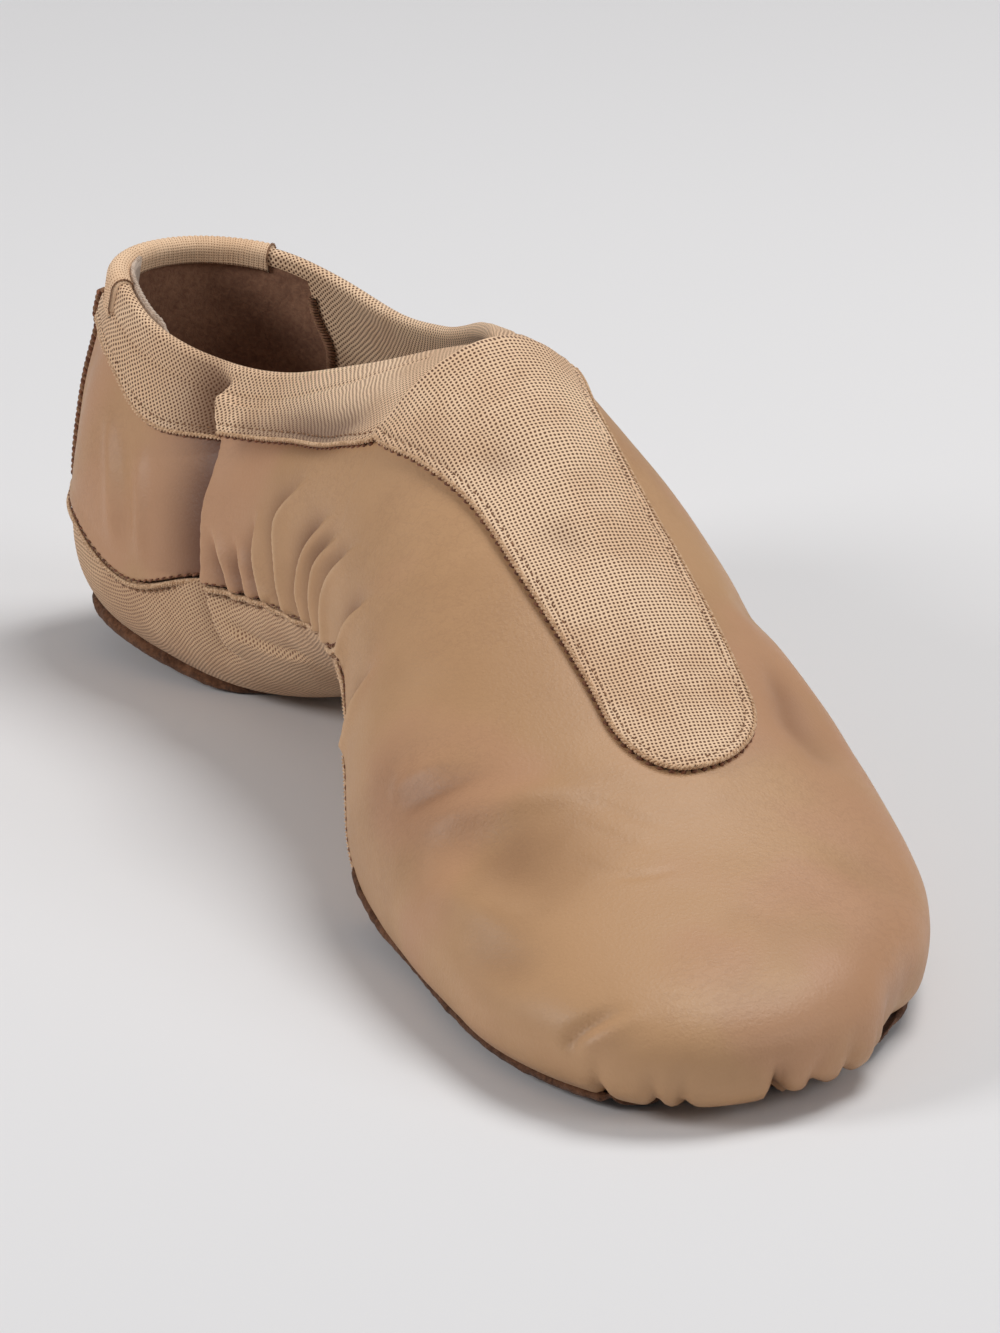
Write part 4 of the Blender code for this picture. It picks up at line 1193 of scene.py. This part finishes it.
# heel tab: ribbed binding folded over the rim
heelTab = {
    "innerEnd": 0.055, "outerEnd": 0.040, "columns": (260, 240), "rows": 9, "insideRows": 5, "rollRows": 13,
    "down": 5.0 * mm, "downInside": 1.9 * mm, "out": 1.30 * mm, "inside": -2.35 * mm, "height": 2.0 * mm,
    "ribPitch": 0.95 * mm, "ribHeight": 0.13 * mm, "lowOut": 0.9 * mm, "lowInside": -1.6 * mm,
    "hemAt": (0, 3.2, 3.9, 4.4, 5.0), "hem": (0.25, 0.1, -0.12, 0.12, -0.2),
    "stitches": {"pitch": 1.5 * mm, "length": 1.0 * mm, "radius": 0.16 * mm, "inset": 1.05 * mm,
                 "height": 1.32 * mm},
    "seam": {"pitch": 1.3 * mm, "radius": 0.22 * mm, "thread": 0.13 * mm},
}


def makeHeelTab():
    spec = heelTab
    inner, outer = spec["columns"]
    a = np.concatenate([np.linspace(float(stationAt(spec["innerEnd"])), 0, inner),
                        np.linspace(0, float(stationAt(spec["outerEnd"])), outer)[1:]])
    side = np.repeat([1.0, -1.0], (inner, outer - 1))
    table = sectionArcs(a, side)
    top = table[1][:, -1:]
    rim, up = rimFrame(a, side)
    length = lengthAlong(rim)
    ribs = (0.5 + 0.5 * np.cos(length / spec["ribPitch"] * 2 * math.pi)) * spec["ribHeight"]
    down = np.linspace(spec["down"], 0, spec["rows"])[None, :]
    v = lineOf(table, top - down)
    skin, facing = skinAt(a, v, side)
    hem = np.interp(down / mm, spec["hemAt"], spec["hem"]) * mm
    outside = skin + facing * (spec["out"] + ribs[:, None] + hem)[..., None]
    vIn = lineOf(table, top - np.linspace(spec["downInside"], 0, spec["insideRows"])[None, :])
    skinIn, facingIn = skinAt(a, vIn, side)
    inside = skinIn + facingIn * (spec["inside"] - ribs[:, None] * 0.5)[..., None]
    turn = np.linspace(0, math.pi, spec["rollRows"])[None, 1:-1]
    outAt = (spec["out"] + ribs + hem[0, -1])[:, None]
    inAt = (spec["inside"] - ribs * 0.5)[:, None]
    sideways = (outAt + inAt) / 2 + (outAt - inAt) / 2 * np.cos(turn)
    roll = overRim(rim, facing[:, -1], up, sideways, (spec["height"] + ribs[:, None]) * np.sin(turn))
    lowOut = skin[:, :1] + facing[:, :1] * spec["lowOut"]
    lowInside = skinIn[:, :1] + facingIn[:, :1] * spec["lowInside"]
    grid = np.concatenate([lowOut, outside, roll, inside[:, ::-1], lowInside], axis=1)
    rows = grid.shape[1]
    uv = np.stack(np.broadcast_arrays(length[:, None], lengthAlong(grid[100])[None, :]), axis=-1)
    # small end faces close the binding where it stops
    caps = []
    for start, order in ((0, 1), ((len(a) - 1) * rows, -1)):
        for j in range(rows // 2 - 1):
            caps.append([start + j, start + rows - 1 - j, start + rows - 2 - j, start + j + 1][::order])
    quads = np.vstack([gridQuads(len(a), rows, False), np.array(caps)])
    makePiece("heelTab", grid.reshape(-1, 3), quads, ["binding"], uv.reshape(-1, 2)[quads],
              replaced=["heel_tab"])
    # a row of stitches holds its lower edge, and a seam crosses the rim at each end
    stitchRow("tabStitches", surfacePath(a, v[:, 0], side), spec["stitches"], "brownThread")
    towards = unit(grid[:1, rows // 2] - (grid[:1, 0] + grid[:1, -1]) / 2)
    for name, end in (("tabEndSeam", 0), ("tabFarSeam", -1)):
        across = grid[end, 3:-3]
        twistedCord(name, "cord", (across, np.repeat(towards, len(across), 0)), spec["seam"], "brownThread")


# the dark raised seam up the middle of the heel, which also crosses the mesh
backCord = {
    "share": 0.013, "top": 1.93, "steps": 90, "height": 0.30 * mm, "overMesh": 0.85 * mm,
    "pitch": 2.1 * mm, "perTurn": 10, "sides": 7, "radius": 0.95 * mm, "thread": 0.50 * mm,
}


def makeBackSeam():
    spec = backCord
    at = stationAt(spec["share"])
    edge = float(meshLine(at, np.array(1.0)))
    v = np.linspace(float(lowLine(at)), spec["top"], spec["steps"])
    points, normals = surfacePath(np.full(len(v), float(at)), v, np.ones(len(v)))
    lift = spec["height"] + spec["overMesh"] * smoothStep(v, edge - 0.05, edge + 0.01)
    path = (points + normals * lift[:, None], normals)
    twistedCord("backSeamCord", "cord", path, spec, "darkThread", "brownThread", replaced=["back_seam"])


# linings, with a seam on each wall where the heel's lining ends
liningPieces = {
    "offset": -1.62 * mm, "heelTo": 0.095, "lowest": 0.30, "columns": 150, "rows": 60,
    "uneven": (6 * mm, 2.2, 0.25),
    "seamAt": (0.082, 0.115), "seamFrom": 0.8, "seamTo": 1.93, "seamIn": 0.75 * mm, "seamSteps": 70,
    "seam": {"pitch": 1.6 * mm, "sides": 6, "strands": 3, "radius": 0.85 * mm, "thread": 0.42 * mm},
}
insolePiece = {
    "columns": 161, "rows": 15, "halfWidth": 0.48, "under": 0.6 * mm, "top": 2.6 * mm,
    "uneven": (12 * mm, 4.4, 0.25),
}


def liningSheet(name, first, final):
    spec = liningPieces
    a = np.linspace(first, final, spec["columns"])
    strips = [ringOf(a, False)] if first == 0 else [(a[::-1], np.ones(len(a))), (a, -np.ones(len(a)))]
    points, quads, base = [], [], 0
    for a, side in strips:
        v = np.linspace(spec["lowest"], 2, spec["rows"])[None, :].repeat(len(a), 0)
        sheet = shoeSheet(a, side, v, False)
        uneven = unevenness(sheet["points"], spec["uneven"]) * mm
        points.append(raised(sheet, sheet["relief"] + spec["offset"] + uneven))
        quads.append(sheet["quads"][:, ::-1] + base)
        base += len(points[-1])
    makePiece(name, np.vstack(points), np.vstack(quads), ["brownNap"])


def makeInside():
    spec = liningPieces
    heelEnd = float(stationAt(spec["heelTo"]))
    liningSheet("heelLining", 0, heelEnd)
    liningSheet("frontLining", heelEnd, 1)
    v = np.linspace(spec["seamFrom"], spec["seamTo"], spec["seamSteps"])
    first, final = spec["seamAt"]
    up = (v - spec["seamFrom"]) / (spec["seamTo"] - spec["seamFrom"])
    share = final + (first - final) * up + 0.003 * np.sin(v * 19)
    for name, sign in (("innerWallSeam", 1), ("outerWallSeam", -1)):
        path = surfacePath(stationAt(share), v, np.full(len(v), sign), spec["offset"] - spec["seamIn"])
        twistedCord(name, "insole", path, spec["seam"], "brownNap", "brownThread")
    spec = insolePiece
    a, side = ringOf(np.linspace(0, 1, spec["columns"]), True)
    v = np.linspace(0, spec["halfWidth"], spec["rows"])[None, :].repeat(len(a), 0)
    sheet = shoeSheet(a, side, v, True)
    under = np.full(len(sheet["points"]), -(last["wall"] + spec["under"]))
    top = -(last["wall"] + spec["top"]) + unevenness(sheet["points"], spec["uneven"]) * mm
    points, quads, uvs = closedShell(sheet, under, top)
    makePiece("sockInsole", points, quads, ["sockLining"], replaced=["insole"])


heelFacing = {
    "from": 0.010, "to": 0.125, "columns": 90, "rows": 12, "down": 9 * mm, "above": 1.5 * mm,
    "wave": 0.15 * mm, "out": -2.15 * mm, "thick": 0.7 * mm,
    "cord": {"pitch": 1.1 * mm, "perTurn": 7, "strands": 3, "radius": 0.42 * mm, "thread": 0.2 * mm},
}


def makeFacing():
    # pale lining strip inside the near side of the heel, its raw edge just above the rim
    spec = heelFacing
    a = np.linspace(float(stationAt(spec["to"])), float(stationAt(spec["from"])), spec["columns"])
    side = np.ones(len(a))
    table = sectionArcs(a, side)
    down = np.linspace(spec["down"], 0, spec["rows"])[None, :]
    v = lineOf(table, table[1][:, -1:] - down)
    skin, facing = skinAt(a, v, side)
    up = unit(skin[:, -1] - skin[:, -2])
    edge = spec["above"] * smoothStep(np.linspace(0, 1, len(a)) / 0.12)
    edge = edge + spec["wave"] * np.sin(np.arange(len(a)) * 1.9)
    layers = []
    for out in (spec["out"], spec["out"] - spec["thick"]):
        wall = skin + facing * out
        layers.append(np.concatenate([wall, (wall[:, -1] + up * edge[:, None])[:, None]], axis=1))
    grid = np.concatenate([layers[0], layers[1][:, ::-1]], axis=1)
    makePiece("heelFacing", grid.reshape(-1, 3), gridQuads(*grid.shape[:2], False), ["greyFacing"])
    path = ((layers[0][:, -1] + layers[1][:, -1]) / 2, up)
    twistedCord("heelFacingEdge", "binding", path, spec["cord"], "greyFacing")


makeLeather()
print("shoe: leather made")
makeCollarMesh()
makeHem()
print("shoe: collar and tongue made")
makeUnderMesh()
for patchName in suedePatches:
    makeSuede(patchName)
print("shoe: underside made")
makeHeelTab()
makeBackSeam()
makeInside()
makeFacing()
print("shoe: heel and inside made")

# floor, light and camera
studio = {
    "floor": linear(228, 228, 230), "floorDim": 0.985, "floorSize": 8.0,
    "world": (0.98, 0.97, 0.98), "worldStrength": 0.23,
    "aim": (0, 0, 0.03),
    "key": {"at": (0.45, 0.05, 1.10), "size": 0.6, "power": 8.2, "colour": (1.0, 0.99, 0.97)},
    "left": {"at": (-1.15, 0.25, 0.66), "size": 0.45, "power": 7.2, "colour": (1.0, 0.99, 0.98)},
    "front": {"at": (0.75, -1.10, 0.75), "size": 0.7, "power": 4.2, "colour": (1.0, 0.99, 0.98)},
}


def makeStudio():
    half = studio["floorSize"] / 2
    corners = [(-half, -half, 0), (half, -half, 0), (half, half, 0), (-half, half, 0)]
    mesh = bpy.data.meshes.new("floor")
    mesh.from_pydata(corners, [], [(0, 1, 2, 3)])
    floor = bpy.data.objects.new("floor", mesh)
    bpy.context.scene.collection.objects.link(floor)
    material, tree, shader, place = newMaterial("paleFloor", {"Roughness": 0.85, "Specular IOR Level": 0.2})
    dim = tuple(c * studio["floorDim"] for c in studio["floor"])
    feed(tree, mixColours(tree, noiseValue(tree, place, 6.0), studio["floor"], dim), shader["Base Color"])
    mesh.materials.append(material)
    world = bpy.data.worlds.new("studio")
    world.use_nodes = True
    sky = world.node_tree.nodes["Background"].inputs
    sky["Color"].default_value = (*studio["world"], 1)
    sky["Strength"].default_value = studio["worldStrength"]
    bpy.context.scene.world = world
    for name in ("key", "left", "front"):
        spec = studio[name]
        lamp = bpy.data.lights.new(name, "AREA")
        lamp.shape = "DISK"
        lamp.size = spec["size"]
        lamp.energy = spec["power"]
        lamp.color = spec["colour"]
        light = bpy.data.objects.new(name, lamp)
        light.location = spec["at"]
        towards = Vector(studio["aim"]) - Vector(spec["at"])
        light.rotation_euler = towards.to_track_quat("-Z", "Y").to_euler()
        bpy.context.scene.collection.objects.link(light)
    view = bpy.context.scene.view_settings
    view.view_transform = "Standard"
    view.look = "None"


photoView = {
    "azimuth": -29.84, "elevation": 19.44, "distance": 1.2, "roll": 1.12, "focalPixels": 6059.0,
    "aim": (0.0196, 0.0227), "aimHeight": 0.025, "photoSize": (1000, 1333), "shoeMiddle": (367, 775),
    "enlarge": 1.25, "sensor": 36.0, "nearest": 0.01, "farthest": 50,
}


def makeCamera():
    view = photoView
    az, el, roll = (math.radians(view[name]) for name in ("azimuth", "elevation", "roll"))
    back = Vector((math.sin(az) * math.cos(el), -math.cos(az) * math.cos(el), math.sin(el)))
    right = (-back).cross(Vector((0, 0, 1))).normalized()
    up = right.cross(-back)
    rolledRight = right * math.cos(roll) + up * math.sin(roll)
    rolledUp = up * math.cos(roll) - right * math.sin(roll)
    aim = rolledRight * view["aim"][0] + rolledUp * view["aim"][1] + Vector((0, 0, view["aimHeight"]))
    eye = aim + back * view["distance"] + Vector(frameShift.tolist())
    # turned on its own spot so that the one shoe is in the middle of the picture
    sideways = (view["shoeMiddle"][0] - view["photoSize"][0] / 2) / view["focalPixels"]
    downwards = (view["shoeMiddle"][1] - view["photoSize"][1] / 2) / view["focalPixels"]
    forward = (-back + rolledRight * sideways - rolledUp * downwards).normalized()
    cameraRight = forward.cross(rolledUp).normalized()
    cameraUp = cameraRight.cross(forward)
    lens = bpy.data.cameras.new("camera")
    lens.sensor_fit = "HORIZONTAL"
    lens.sensor_width = view["sensor"]
    lens.lens = view["sensor"] * view["focalPixels"] * view["enlarge"] / view["photoSize"][0]
    lens.clip_start = view["nearest"]
    lens.clip_end = view["farthest"]
    camera = bpy.data.objects.new("camera", lens)
    turn = Matrix((cameraRight, cameraUp, -forward)).transposed().to_4x4()
    camera.matrix_world = Matrix.Translation(eye) @ turn
    bpy.context.scene.collection.objects.link(camera)
    bpy.context.scene.camera = camera


makeStudio()
makeCamera()
print("shoe: studio and camera made")
